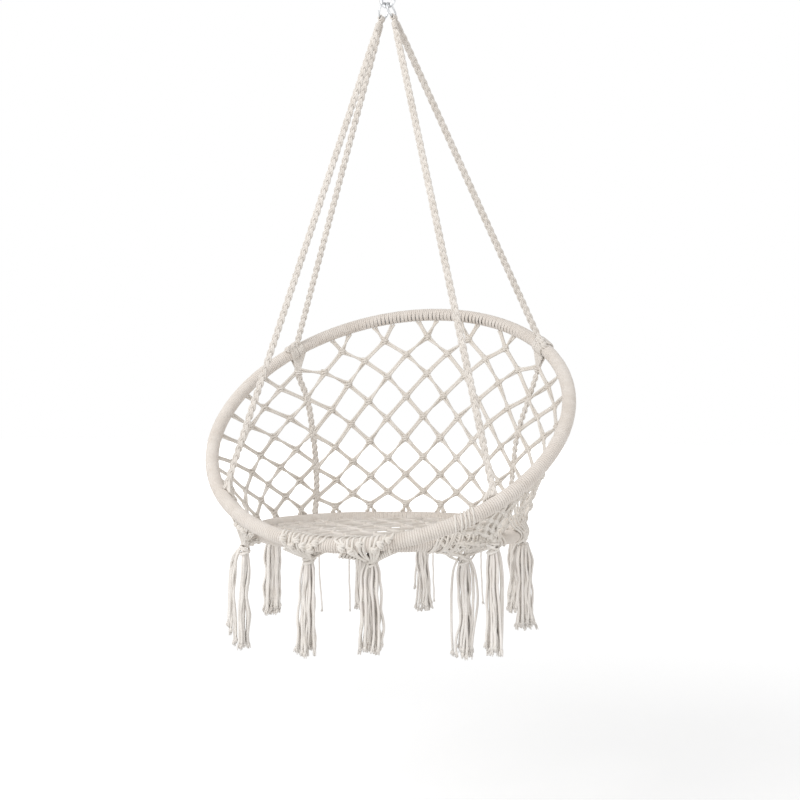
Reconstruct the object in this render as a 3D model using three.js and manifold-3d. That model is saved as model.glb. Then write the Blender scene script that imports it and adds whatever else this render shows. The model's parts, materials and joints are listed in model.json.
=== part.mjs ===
// Hammock chair: a large tilted hoop and a level seat hoop, both wrapped in cord and joined by a knotted net,
// hung on four ropes, two steel rings and a carabiner. Millimetres, +Z up, the sitter faces -Y.
// The origin is where the inside of the carabiner's top bow rests on its hook.
import * as THREE from "three";
import { mergeVertices } from "three/addons/utils/BufferGeometryUtils.js";
import Module from "manifold-3d";

const wasm = await Module();
wasm.setup();

const degree = Math.PI / 180;
const turn = 2 * Math.PI;

// Hoops
const backHoopRadius = 385.5;
const seatHoopRadius = 280;
const backHoopTilt = 38.9 * degree;
const steelTubeRadius = 11;
const steelTubeWall = 1.5;
const wrapThickness = 3.2;
const weldGap = 0.6;
const hoopSegments = 48;
const hoopSides = 8;

// Clearances
const touchGap = 0.3;
const hoopsGap = 0.5;
const coilLeastGap = 0.4;

// Ropes and braids
const frontRopeAngle = -42.4 * degree;
const rearRopeAngle = 39.4 * degree;
const frontRopeAngles = { right: frontRopeAngle, left: Math.PI - frontRopeAngle };
const ropeRadius = 7.2;
const ropeNeckRadius = 3.6;
const ropeNeckLength = 42;
const eyeCordRadius = 3;
const braidRadius = 5.6;
const ropeSides = 8;
const cordSides = 6;

// The braids' course: how far down from the back hoop to the seat hoop, and at which angle
const braidShares = [0, 0.15, 0.3, 0.5, 0.65, 0.82, 1];
const braidAngles = {
  right: [39.4, 39.6, 41.4, 44.2, 43.6, 41, 36].map((angle) => angle * degree),
  left: [140.6, 140.9, 139.1, 139.4, 140.3, 142.6, 147].map((angle) => angle * degree),
};

// Hoop knots, where a rope or a braid grips the back hoop
const gripLength = 44;
const gripShoulder = 12;
const gripThickness = 4.6;
const gripEndThickness = 1.8;

// Nets
const cordWidth = 8;
const cordHeight = 6.5;
const sharpestCornerShare = 0.35;
const footPullShare = 0.85;
const netPasses = 60;

// Rows of the back net, as shares of the way up from the seat hoop to the back hoop
const rearRowShares = [0.07, 0.13, 0.215, 0.3, 0.395, 0.5, 0.6, 0.71, 0.81, 0.89];
const sideTopShare = 0.885;
const sideTopFallShare = 0.045;
const sideRowSpreadShare = 1.08;

// Columns, as shares of the way between the braids, or from a braid to a front rope
const rearColumnShares = [0, 0.1, 0.18, 0.26, 0.34, 0.42, 0.5, 0.58, 0.66, 0.74, 0.82, 0.9, 1];
const sideColumnShares = [0, 0.108, 0.226, 0.345, 0.45, 0.577, 0.67, 0.75, 0.825, 0.9, 1];

// Where the edge cords of a side net end on the back hoop, column by column
const sideHoopShares = [0, 0.2, 0.323, 0.454, 0.59, 0.733, 0.79, 0.845, 0.885, 0.925];
const topFootAngle = 4.6 * degree;
const seatFootShare = 0.36;

// Seat net
const seatNetColumn = 86;
const seatNetRow = 45;
const seatNetEdge = 26;

// Corner knots, under the front ropes
const cornerKnotAngles = { left: 217.2 * degree, right: -35.6 * degree };
const cornerKnotReach = { left: 44, right: 57 };
const cornerKnotLift = 12;
const cornerKnotRadius = 9;
const cornerCordRadius = 4.2;
const cornerUpperAngles = [-42.4, -51, -59].map((angle) => angle * degree);
const cornerSeatAngles = [-41, -53].map((angle) => angle * degree);

// Front lashings, round both hoops
const lashingAngles = { left: 255.5 * degree, right: 282 * degree };
const lashingCordRadius = 2.9;
const lashingTurns = 8;
const lashingPitch = 12.5;
const lashingSteps = 16;
const lashingSides = 6;

// Tassels and loose strands
const cornerTassels = {
  tassel_01: { side: "left", length: 224 },
  tassel_05: { side: "right", length: 202 },
};
const lashingTassels = {
  tassel_02: { side: "left", length: 188 },
  tassel_03: { side: "right", length: 175 },
};
const seatTassels = {
  tassel_04: { angle: 320 * degree, length: 198 },
  tassel_06: { angle: 12 * degree, length: 182 },
  tassel_07: { angle: 36 * degree, length: 167 },
  tassel_08: { angle: 92 * degree, length: 198 },
  tassel_09: { angle: 123 * degree, length: 197 },
  tassel_10: { angle: 176 * degree, length: 177 },
};
const tasselHeadRows = [82, 50, 15, -22].map((rise) => rise * degree);
const tasselWaistDrop = 18;
const tasselHangShare = 0.6;
const tasselHeadRadius = 10;
const tasselNeckRadius = 9;
const tasselSkirtRadius = 15;
const tasselHemRadius = 21;
const tasselSides = 12;
const tasselGrooveShare = 0.82;
const seatStrands = {
  loose_strand_1: { angle: 58.5 * degree, length: 169 },
  loose_strand_2: { angle: 86.4 * degree, length: 177 },
  loose_strand_3: { angle: 128.2 * degree, length: 200 },
  loose_strand_4: { angle: 143.2 * degree, length: 195 },
};
const strandRadius = 2;
const strandKnotRadius = 4;
const strandKnotRows = [70, 20, -30].map((rise) => rise * degree);
const strandKnotDrop = 8;

// Rings
const ringRadius = 17;
const ringWireRadius = 2;
const ringLean = 18.3 * degree;
const ringTwist = 10 * degree;
const ringSpread = 5.5;
const ringBottomHeight = 1095;
const hangY = -8.4;
const eyeAngle = 24 * degree;
const ringSides = 6;
const ringSegments = 24;

// Carabiner
const carabinerWireRadius = 4;
const bowRadius = 14;
const carabinerSide = 44;
const gateLength = 31;
const gateRadius = 3.4;
const gateSlot = 0.6;
const tongueThickness = 2.6;
const tongueLength = 7;
const gatePinRadius = 1;
const gatePinSlack = 0.15;
const gateForkGap = 0.3;
const gateSwingGap = 1.5;
const pinSides = 12;
const carabinerBowSteps = 10;
const cutOverrun = 2;

// How fine the search for a meeting place is, and how far out it starts
const meetingHalvings = 30;
const meetingStart = 60;

// Worked-out sizes
const wrapInside = steelTubeRadius + touchGap;
const wrapRadius = wrapInside + wrapThickness;
const hoopSlack = (backHoopRadius * (1 - Math.cos(Math.PI / hoopSegments))) / 2;
const onWrap = wrapRadius + touchGap + hoopSlack;
const gripRadius = onWrap + gripThickness;
const backHoopFrontY = -(seatHoopRadius + 2 * wrapRadius + hoopsGap);
const backHoopCentre = new THREE.Vector3(
  0,
  backHoopFrontY + backHoopRadius * Math.cos(backHoopTilt),
  backHoopRadius * Math.sin(backHoopTilt),
);
const up = new THREE.Vector3(0, 0, 1);
const acrossAxis = new THREE.Vector3(1, 0, 0);

// Colours and finishes
const materials = {
  cotton: { color: 0xe9e1d4, roughness: 0.95, metalness: 0 },
  rope: { color: 0xe4dccf, roughness: 0.95, metalness: 0 },
  wrap: { color: 0xece6dc, roughness: 0.9, metalness: 0 },
  net: { color: 0xd9cfc0, roughness: 0.95, metalness: 0 },
  tube: { color: 0x8d9196, roughness: 0.45, metalness: 0.9 },
  steel: { color: 0xb4b6b8, roughness: 0.3, metalness: 1 },
};

const chair = new THREE.Group();

// Every named piece goes through here
function addPiece(name, geometry, material) {
  const mesh = new THREE.Mesh(geometry, new THREE.MeshStandardMaterial(materials[material]));
  mesh.name = name;
  chair.add(mesh);
  return mesh;
}

// Closed bodies from points and triangles
function bodyFrom(points, triangles) {
  let volume = 0;
  for (const [a, b, c] of triangles) {
    volume += points[a].dot(new THREE.Vector3().crossVectors(points[b], points[c]));
  }
  const facing = volume > 0 ? triangles : triangles.map(([a, b, c]) => [a, c, b]);
  const geometry = new THREE.BufferGeometry();
  const position = new Float32Array(points.flatMap((p) => [p.x, p.y, p.z]));
  geometry.setAttribute("position", new THREE.BufferAttribute(position, 3));
  geometry.setIndex(facing.flat());
  return geometry;
}

// A skin through rings of points, with flat ends
function loft(rings) {
  const sides = rings[0].length;
  const points = rings.flat();
  const triangles = [];
  for (let r = 0; r + 1 < rings.length; r += 1) {
    for (let i = 0; i < sides; i += 1) {
      const j = (i + 1) % sides;
      const low = r * sides;
      const high = low + sides;
      triangles.push([low + i, low + j, high + j], [low + i, high + j, high + i]);
    }
  }
  const last = (rings.length - 1) * sides;
  for (let i = 1; i + 1 < sides; i += 1) {
    triangles.push([0, i + 1, i], [last, last + i, last + i + 1]);
  }
  return bodyFrom(points, triangles);
}

// A pipe with open ends, between outer and inner rings of points
function loftPipe(outer, inner) {
  const sides = outer[0].length;
  const points = [...outer.flat(), ...inner.flat()];
  const innerStart = outer.length * sides;
  const triangles = [];
  for (let r = 0; r + 1 < outer.length; r += 1) {
    for (let i = 0; i < sides; i += 1) {
      const j = (i + 1) % sides;
      const a = r * sides;
      const b = a + sides;
      triangles.push([a + i, a + j, b + j], [a + i, b + j, b + i]);
      const c = innerStart + a;
      const d = innerStart + b;
      triangles.push([c + i, d + j, c + j], [c + i, d + i, d + j]);
    }
  }
  const last = (outer.length - 1) * sides;
  for (let i = 0; i < sides; i += 1) {
    const j = (i + 1) % sides;
    triangles.push([i, innerStart + j, j], [i, innerStart + i, innerStart + j]);
    const e = last;
    const f = innerStart + last;
    triangles.push([e + i, e + j, f + j], [e + i, f + j, f + i]);
  }
  return bodyFrom(points, triangles);
}

// A ring of points round a centre, in the plane of two directions
function circleOf(centre, across, upward, radius, sides, grooves = 1) {
  const ring = [];
  for (let i = 0; i < sides; i += 1) {
    const angle = ((i + 0.5) / sides) * turn;
    const reach = i % 2 ? radius * grooves : radius;
    const point = centre.clone();
    point.addScaledVector(across, Math.cos(angle) * reach);
    point.addScaledVector(upward, Math.sin(angle) * reach);
    ring.push(point);
  }
  return ring;
}

// Two directions square to an axis
function squareTo(axis, hint = up) {
  const across = new THREE.Vector3().crossVectors(axis, hint);
  if (across.lengthSq() < Number.EPSILON) across.set(1, 0, 0);
  across.normalize();
  const upward = new THREE.Vector3().crossVectors(across, axis).normalize();
  return [across, upward];
}

// Joining and cutting of closed bodies
function solidOf(geometry) {
  const bare = geometry.clone();
  bare.deleteAttribute("normal");
  bare.deleteAttribute("uv");
  const merged = mergeVertices(bare);
  const mesh = new wasm.Mesh({
    numProp: 3,
    vertProperties: merged.getAttribute("position").array,
    triVerts: new Uint32Array(merged.getIndex().array),
  });
  return new wasm.Manifold(mesh);
}

function geometryOf(solid) {
  const mesh = solid.getMesh();
  const geometry = new THREE.BufferGeometry();
  geometry.setAttribute("position", new THREE.BufferAttribute(mesh.vertProperties, 3));
  geometry.setIndex(new THREE.BufferAttribute(mesh.triVerts, 1));
  return geometry;
}

function joined(geometries) {
  return geometryOf(geometries.map(solidOf).reduce((whole, piece) => whole.add(piece)));
}

// Points of the two hoops' centrelines
const backHoopTurn = new THREE.Quaternion().setFromAxisAngle(acrossAxis, backHoopTilt);

function backHoopPoint(angle, radius = backHoopRadius, lift = 0) {
  const point = new THREE.Vector3(radius * Math.cos(angle), radius * Math.sin(angle), lift);
  return point.applyQuaternion(backHoopTurn).add(backHoopCentre);
}

function seatHoopPoint(angle, radius = seatHoopRadius, lift = 0) {
  return new THREE.Vector3(radius * Math.cos(angle), radius * Math.sin(angle), lift);
}

// How far a point is from the centreline of a tube
function fromSeatHoop(point) {
  return Math.hypot(Math.hypot(point.x, point.y) - seatHoopRadius, point.z);
}

// The same for the seat hoop with its lashings, for the feet of the seat net
function fromSeatEdge(point) {
  const half = (lashingTurns * lashingPitch) / 2 + lashingCordRadius + cordWidth;
  const covers = (angle) => Math.abs(point.x - seatHoopPoint(angle).x) < half;
  const lashed = point.y < 0 && Object.values(lashingAngles).some(covers);
  return fromSeatHoop(point) - (lashed ? 2 * lashingCordRadius + touchGap : 0);
}

function fromBackHoop(point) {
  const local = point.clone().sub(backHoopCentre).applyQuaternion(backHoopTurn.clone().invert());
  return Math.hypot(Math.hypot(local.x, local.y) - backHoopRadius, local.z);
}

function fromCourse(course) {
  const nearest = new THREE.Vector3();
  const spans = course.slice(1).map((end, i) => new THREE.Line3(course[i], end));
  return (point) =>
    Math.min(...spans.map((span) => span.closestPointToPoint(point, true, nearest).distanceTo(point)));
}

// The place along a straight cord where it comes this near to what it ends on
function meetingPoint(point, towards, distanceFrom, wanted) {
  let outside = -meetingStart;
  let inside = 0;
  for (let step = 0; step < meetingHalvings; step += 1) {
    const middle = (outside + inside) / 2;
    const far = distanceFrom(point.clone().addScaledVector(towards, middle));
    if (far > wanted) outside = middle;
    else inside = middle;
  }
  return point.clone().addScaledVector(towards, outside);
}

function shapedEnd(ring, towards, distanceFrom, wanted) {
  return ring.map((point) => meetingPoint(point, towards, distanceFrom, wanted));
}

// A ring of points round a hoop's centreline
function hoopRing(pointAt, angle, hoopRadius, radius, sides) {
  const centre = pointAt(angle, hoopRadius);
  const outward = pointAt(angle, hoopRadius + 1).sub(centre).normalize();
  const level = pointAt(angle, hoopRadius, 1).sub(centre).normalize();
  return circleOf(centre, outward, level, radius, sides);
}

// A hoop: a bent steel tube, butt-welded at the back, in a close wrap of cord
function addHoop(name, pointAt, radius) {
  const half = weldGap / 2 / radius;
  const angles = [];
  for (let s = 0; s <= hoopSegments; s += 1) {
    angles.push(Math.PI / 2 + half + ((turn - 2 * half) * s) / hoopSegments);
  }
  const evened = radius + hoopSlack;
  const ringsOf = (size) => angles.map((angle) => hoopRing(pointAt, angle, evened, size, hoopSides));
  const shell = (outside, inside) => loftPipe(ringsOf(outside), ringsOf(inside));
  addPiece(name, shell(steelTubeRadius, steelTubeRadius - steelTubeWall), "tube");
  addPiece(`${name}_wrap`, shell(wrapRadius, wrapInside), "wrap");
}

// A knot of cords that grips the back hoop
function hoopGrip(angle) {
  const half = gripLength / 2 / backHoopRadius;
  const shoulder = (gripLength / 2 - gripShoulder) / backHoopRadius;
  const angles = [-half, -shoulder, shoulder, half];
  const outsides = [gripEndThickness, gripThickness, gripThickness, gripEndThickness];
  const ringAt = (offset, radius) =>
    hoopRing(backHoopPoint, angle + offset, backHoopRadius, radius, hoopSides);
  return loftPipe(
    angles.map((offset, i) => ringAt(offset, onWrap + outsides[i])),
    angles.map((offset) => ringAt(offset, onWrap)),
  );
}

// A cord along a course of points, each end shaped to what it ends on
function cordAlong(course, radius, sides, startOn, endOn) {
  const ways = course.map((place, i) => {
    const before = course[Math.max(i - 1, 0)];
    const after = course[Math.min(i + 1, course.length - 1)];
    return after.clone().sub(before).normalize();
  });
  const rings = course.map((place, i) => {
    const [across, upward] = squareTo(ways[i]);
    return circleOf(place, across, upward, radius, sides);
  });
  const last = rings.length - 1;
  if (startOn) rings[0] = shapedEnd(rings[0], ways[0].clone().negate(), startOn.distance, startOn.wanted);
  if (endOn) rings[last] = shapedEnd(rings[last], ways[last], endOn.distance, endOn.wanted);
  return loft(rings);
}

const onSeatWrap = { distance: fromSeatHoop, wanted: onWrap };
const onBackWrap = { distance: fromBackHoop, wanted: onWrap };
const onGrip = { distance: fromBackHoop, wanted: gripRadius + touchGap };
const onSeatEdge = { distance: fromSeatEdge, wanted: onWrap };

// Rings and where the ropes hold them
const bowAngle = Math.asin(ringSpread / bowRadius);
const bowToRing = carabinerWireRadius + ringWireRadius + touchGap;
const ringDrop = 2 * ringRadius * Math.cos(ringLean);
const bowPointHeight = ringBottomHeight + ringDrop - bowToRing * Math.cos(ringLean);
const bowCentreHeight = bowPointHeight + bowRadius * Math.cos(bowAngle);

function ringFrame(side) {
  const pull = new THREE.Vector3(side * Math.sin(ringLean), 0, -Math.cos(ringLean));
  const level = new THREE.Vector3(Math.sin(ringTwist), Math.cos(ringTwist), 0);
  level.addScaledVector(pull, -level.dot(pull)).normalize();
  const bow = new THREE.Vector3(side * ringSpread, hangY, bowPointHeight);
  const centre = bow.clone().addScaledVector(pull, ringRadius - bowToRing);
  const facing = new THREE.Vector3().crossVectors(level, pull);
  return { pull, level, centre, facing };
}

function addRing(name, side) {
  const { pull, level, centre, facing } = ringFrame(side);
  const wire = new THREE.TorusGeometry(ringRadius, ringWireRadius, ringSides, ringSegments);
  const mesh = addPiece(name, wire, "steel");
  mesh.quaternion.setFromRotationMatrix(new THREE.Matrix4().makeBasis(level, pull, facing));
  mesh.position.copy(centre);
}

// A rope: an eye round the ring's wire, a neck that swells to the full rope, and a foot on the hoop's grip
function ropeGeometry(side, toFront, hoopAngle) {
  const { pull, level, centre } = ringFrame(side);
  const angle = toFront ? -eyeAngle : eyeAngle;
  const spoke = pull.clone().multiplyScalar(Math.cos(angle)).addScaledVector(level, Math.sin(angle));
  const wire = centre.clone().addScaledVector(spoke, ringRadius);
  const hoop = backHoopPoint(hoopAngle);
  const along = hoop.clone().sub(wire).normalize();
  const [across, upward] = squareTo(along);
  const eyeRadius = ringWireRadius + touchGap + eyeCordRadius;
  const neckStart = wire.clone().addScaledVector(along, eyeRadius);
  const neckEnd = neckStart.clone().addScaledVector(along, ropeNeckLength);
  const ringAt = (place, radius) => circleOf(place, across, upward, radius, ropeSides);
  const body = loft([
    ringAt(neckStart, ropeNeckRadius),
    ringAt(neckEnd, ropeRadius),
    shapedEnd(ringAt(hoop, ropeRadius), along, onGrip.distance, onGrip.wanted),
  ]);
  const eye = new THREE.TorusGeometry(eyeRadius, eyeCordRadius, ringSides, tasselSides);
  const wireAlong = level.clone().multiplyScalar(Math.cos(angle)).addScaledVector(pull, -Math.sin(angle));
  const outward = new THREE.Vector3().crossVectors(wireAlong, spoke);
  const eyeAxis = new THREE.Vector3().crossVectors(spoke, outward);
  const place = new THREE.Matrix4().makeBasis(spoke, outward, eyeAxis);
  eye.applyMatrix4(place.setPosition(wire));
  return joined([body, eye]);
}

// A net of flat-sided cords: knots, cords between them, and feet on what holds the net
function netGeometry(knots, cords) {
  const links = knots.map(() => []);
  cords.forEach(([a, b]) => {
    links[a].push(b);
    links[b].push(a);
  });
  const points = [];
  const triangles = [];
  const rings = knots.map((knot, k) => {
    const tips = knot.foot ? footRing(knot, knots[links[k][0]]) : knotRing(knot, links[k], knots);
    return tips.map((point) => points.push(point) - 1);
  });
  const quad = (a, b, c, d) => triangles.push([a, b, c], [a, c, d]);
  const sidesAt = (k, other) => {
    const [top, bottom, ...corners] = rings[k];
    if (knots[k].foot) return { top, bottom, left: corners[0], right: corners[1] };
    const place = knots[k].order.indexOf(other);
    const count = corners.length;
    return { top, bottom, left: corners[place], right: corners[(place + count - 1) % count] };
  };
  cords.forEach(([a, b]) => {
    const near = sidesAt(a, b);
    const far = sidesAt(b, a);
    quad(near.top, far.top, far.right, near.left);
    quad(near.left, far.right, far.bottom, near.bottom);
    quad(near.bottom, far.bottom, far.left, near.right);
    quad(near.right, far.left, far.top, near.top);
  });
  knots.forEach((knot, k) => {
    if (!knot.foot) return;
    const { top, bottom, left, right } = sidesAt(k);
    quad(top, left, bottom, right);
  });
  return bodyFrom(points, triangles);
}

// A knot's top, bottom and the corner between each two cords, in order round it
function knotRing(knot, others, knots) {
  const [across, upward] = squareTo(knot.normal);
  const bearing = (other) => {
    const way = knots[other].place.clone().sub(knot.place);
    return Math.atan2(way.dot(upward), way.dot(across));
  };
  knot.order = [...others].sort((a, b) => bearing(a) - bearing(b));
  const corners = knot.order.map((other, i) => {
    const from = bearing(other);
    const next = knot.order[(i + 1) % knot.order.length];
    const wide = (bearing(next) - from + 2 * turn) % turn || turn;
    const middle = from + wide / 2;
    const reach = cordWidth / 2 / Math.max(Math.sin(wide / 2), sharpestCornerShare);
    const corner = knot.place.clone().addScaledVector(across, Math.cos(middle) * reach);
    return corner.addScaledVector(upward, Math.sin(middle) * reach);
  });
  const top = knot.place.clone().addScaledVector(knot.normal, cordHeight / 2);
  const bottom = knot.place.clone().addScaledVector(knot.normal, -cordHeight / 2);
  return [top, bottom, ...corners];
}

// A cord's last ring, shaped to the tube or braid it ends on
function footRing(foot, knot) {
  const along = foot.place.clone().sub(knot.place).normalize();
  const normal = knot.normal.clone().addScaledVector(along, -knot.normal.dot(along)).normalize();
  const left = new THREE.Vector3().crossVectors(normal, along);
  const tip = (way, size) => foot.place.clone().addScaledVector(way, size);
  const tips = [
    tip(normal, cordHeight / 2),
    tip(normal, -cordHeight / 2),
    tip(left, cordWidth / 2),
    tip(left, -cordWidth / 2),
  ];
  return shapedEnd(tips, along, foot.foot.distance, Math.hypot(foot.foot.wanted, cordWidth / 2));
}

// Under load each knot settles at the middle of the knots it is tied to
function settle(knots, cords) {
  for (let pass = 0; pass < netPasses; pass += 1) {
    const sums = knots.map(() => ({ total: new THREE.Vector3(), weight: 0 }));
    for (const [a, b] of cords) {
      const weight = knots[a].foot || knots[b].foot ? footPullShare : 1;
      sums[a].total.addScaledVector(knots[b].place, weight);
      sums[b].total.addScaledVector(knots[a].place, weight);
      sums[a].weight += weight;
      sums[b].weight += weight;
    }
    knots.forEach((knot, k) => {
      if (!knot.foot) knot.place.copy(sums[k].total.divideScalar(sums[k].weight));
    });
  }
}

// A place on the back: an angle, and the share of the way up from the seat hoop to the back hoop
function backPlace(angle, share) {
  return seatHoopPoint(angle).lerp(backHoopPoint(angle), share);
}

function backNormal(angle) {
  const rise = backHoopPoint(angle).sub(seatHoopPoint(angle));
  return new THREE.Vector3(-Math.sin(angle), Math.cos(angle), 0).cross(rise).normalize();
}

// A braid's angle at a share of the way up
function braidAngle(side, share) {
  const down = 1 - share;
  const last = braidShares.length - 2;
  const i = Math.min(braidShares.findLastIndex((start) => start <= down), last);
  const part = (down - braidShares[i]) / (braidShares[i + 1] - braidShares[i]);
  return THREE.MathUtils.lerp(braidAngles[side][i], braidAngles[side][i + 1], part);
}

function braidCourse(side) {
  return braidShares.map((down, i) => backPlace(braidAngles[side][i], 1 - down));
}

function onBraid(side) {
  return { distance: fromCourse(braidCourse(side)), wanted: braidRadius + touchGap };
}

// A panel of the back net. Rows count up from the seat hoop; every second place in a row has a knot
function backPanel({ columns, rowsIn, shareAt, angleAt, braidAt, topFeet }) {
  const knots = [];
  const cords = [];
  const index = new Map();
  const addFoot = (knot, place, foot) => cords.push([knot, knots.push({ place, foot }) - 1]);
  for (let column = 1; column < columns; column += 1) {
    for (let row = 1; row <= rowsIn(column); row += 1) {
      if ((row + column) % 2 !== 0) continue;
      const share = shareAt(column, row);
      const angle = angleAt(column, share);
      const knot = knots.push({ place: backPlace(angle, share), normal: backNormal(angle) }) - 1;
      index.set(`${column},${row}`, knot);
    }
  }
  for (const [key, knot] of index) {
    const [column, row] = key.split(",").map(Number);
    for (const next of [column - 1, column + 1]) {
      const above = index.get(`${next},${row + 1}`);
      if (above !== undefined) cords.push([knot, above]);
      const side = braidAt[next];
      if (side && row < rowsIn(next)) addBraidFoot(knot, side, next, row + 1);
      if (side && row > 1) addBraidFoot(knot, side, next, row - 1);
      if (row === 1) {
        const share = shareAt(column, row);
        const angle = THREE.MathUtils.lerp(angleAt(column, share), angleAt(next, share), seatFootShare);
        addFoot(knot, seatHoopPoint(angle), onSeatWrap);
      }
    }
    if (row === rowsIn(column)) {
      topFeet(column).forEach((angle) => addFoot(knot, backHoopPoint(angle), onBackWrap));
    }
  }
  function addBraidFoot(knot, side, column, row) {
    const share = shareAt(column, row);
    addFoot(knot, backPlace(braidAngle(side, share), share), onBraid(side));
  }
  return netGeometry(knots, cords);
}

// The rear panel, between the two braids; its even columns end in knots with two cords to the back hoop
function rearNet() {
  const rows = rearRowShares.length;
  const columns = rearColumnShares.length - 1;
  const angleAt = (column, share) =>
    THREE.MathUtils.lerp(braidAngle("left", share), braidAngle("right", share), rearColumnShares[column]);
  return backPanel({
    columns,
    rowsIn: () => rows,
    shareAt: (column, row) => rearRowShares[row - 1],
    angleAt,
    braidAt: { 0: "left", [columns]: "right" },
    topFeet: (column) => {
      const angle = angleAt(column, rearRowShares[rows - 1]);
      return column % 2 === 0 ? [angle - topFootAngle, angle + topFootAngle] : [];
    },
  });
}

// A side panel, from a braid to a front rope; it loses a row with each column, along the back hoop
function sideNet(side) {
  const columns = sideColumnShares.length - 1;
  const rowsIn = (column) => columns - column;
  const front = frontRopeAngles[side];
  return backPanel({
    columns,
    rowsIn,
    shareAt: (column, row) =>
      (sideTopShare - sideTopFallShare * column) * (row / Math.max(rowsIn(column), 1)) ** sideRowSpreadShare,
    angleAt: (column, share) =>
      THREE.MathUtils.lerp(braidAngle(side, share), front, sideColumnShares[column]),
    braidAt: { 0: side },
    topFeet: (column) => [THREE.MathUtils.lerp(braidAngles[side][0], front, sideHoopShares[column])],
  });
}

// The seat net: diamonds across the seat hoop, with feet where a cord reaches the hoop or its lashings
function seatNet() {
  const knots = [];
  const cords = [];
  const index = new Map();
  const reach = seatHoopRadius - wrapRadius - seatNetEdge;
  const most = Math.ceil(seatHoopRadius / Math.min(seatNetRow, seatNetColumn / 2));
  const placeAt = (column, row) => new THREE.Vector3((column * seatNetColumn) / 2, row * seatNetRow, 0);
  for (let row = -most; row <= most; row += 1) {
    for (let column = -most; column <= most; column += 1) {
      const place = placeAt(column, row);
      if ((row + column) % 2 !== 0 || place.length() > reach) continue;
      index.set(`${column},${row}`, knots.push({ place, normal: up }) - 1);
    }
  }
  for (const [key, knot] of index) {
    const [column, row] = key.split(",").map(Number);
    for (const [across, along] of [[1, 1], [-1, 1], [1, -1], [-1, -1]]) {
      const other = index.get(`${column + across},${row + along}`);
      if (other === undefined) {
        const edge = placeAt(column + across, row + along).setLength(seatHoopRadius);
        cords.push([knot, knots.push({ place: edge, foot: onSeatEdge }) - 1]);
      } else if (along > 0) cords.push([knot, other]);
    }
  }
  settle(knots, cords);
  return netGeometry(knots, cords);
}

function cornerKnotPlace(side) {
  return seatHoopPoint(cornerKnotAngles[side], seatHoopRadius + cornerKnotReach[side], cornerKnotLift);
}

// A corner knot: a grip under the front rope, with cords to both hoops that gather in a ball
function cornerKnot(side) {
  const mirrored = (angle) => (side === "right" ? angle : Math.PI - angle);
  const ball = cornerKnotPlace(side);
  const gather = new THREE.SphereGeometry(cornerKnotRadius, ropeSides, cordSides);
  gather.rotateX(Math.PI / 2);
  gather.translate(ball.x, ball.y, ball.z);
  const cordTo = (end, on) => cordAlong([ball, end], cornerCordRadius, cordSides, null, on);
  const [first, ...others] = cornerUpperAngles.map((angle) => backHoopPoint(mirrored(angle)));
  return joined([
    hoopGrip(mirrored(frontRopeAngle)),
    gather,
    cordTo(first, onBackWrap),
    ...others.map((end) => cordTo(end, onBackWrap)),
    ...cornerSeatAngles.map((angle) => cordTo(seatHoopPoint(mirrored(angle)), onSeatWrap)),
  ]);
}

// A lashing: one unbroken cord wound round both hoops
function lashing(name, angle) {
  const middle = seatHoopPoint(angle).x;
  const reach = onWrap + lashingCordRadius;
  const steps = lashingTurns * lashingSteps;
  const line = [];
  for (let step = 0; step <= steps; step += 1) {
    const x = middle + (step / lashingSteps - lashingTurns / 2) * lashingPitch;
    const facing = (step / lashingSteps) * turn;
    const tubes = [
      { centre: seatHoopPoint(-Math.acos(x / seatHoopRadius)), radius: seatHoopRadius, tilt: 0 },
      { centre: backHoopPoint(-Math.acos(x / backHoopRadius)), radius: backHoopRadius, tilt: backHoopTilt },
    ];
    const edges = tubes.map(({ centre, radius, tilt }) => {
      const longReach = reach / Math.sqrt(1 - (x / radius) ** 2);
      const out = longReach * Math.cos(facing - tilt);
      const rise = reach * Math.sin(facing - tilt);
      const edge = new THREE.Vector3(0, longReach * out, reach * rise).divideScalar(Math.hypot(out, rise));
      return edge.applyAxisAngle(acrossAxis, tilt).add(centre).setX(x);
    });
    const rank = (p) => p.y * Math.cos(facing) + p.z * Math.sin(facing);
    line.push(rank(edges[0]) > rank(edges[1]) ? edges[0] : edges[1]);
  }
  const rings = line.map((place, i) => {
    const before = line[Math.max(i - 1, 0)];
    const after = line[Math.min(i + 1, line.length - 1)];
    const along = after.clone().sub(before).normalize();
    const [across, upward] = squareTo(along, acrossAxis);
    return circleOf(place, across, upward, lashingCordRadius, lashingSides);
  });
  let least = Infinity;
  line.forEach((a, i) => {
    line.forEach((b, j) => {
      if (j - i > lashingSteps / 2) least = Math.min(least, a.distanceTo(b) - 2 * lashingCordRadius);
    });
  });
  console.log(`${name}: least gap between turns ${least.toFixed(2)} mm, wanted over ${coilLeastGap} mm`);
  return loft(rings);
}

// A tassel: a round knot, with a skirt of cords below it that widens to the hem
function tassel(length) {
  const across = new THREE.Vector3(1, 0, 0);
  const upward = new THREE.Vector3(0, 1, 0);
  const ringAt = (height, radius, grooves = 1) =>
    circleOf(new THREE.Vector3(0, 0, height), across, upward, radius, tasselSides, grooves);
  const headRow = (rise) => ringAt(tasselHeadRadius * Math.sin(rise), tasselHeadRadius * Math.cos(rise));
  return loft([
    ...tasselHeadRows.map(headRow),
    ringAt(-tasselHeadRadius, tasselNeckRadius, tasselGrooveShare),
    ringAt(-tasselHeadRadius - tasselWaistDrop, tasselSkirtRadius, tasselGrooveShare),
    ringAt(-length * tasselHangShare, tasselSkirtRadius, tasselGrooveShare),
    ringAt(-length, tasselHemRadius, tasselGrooveShare),
  ]);
}

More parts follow.
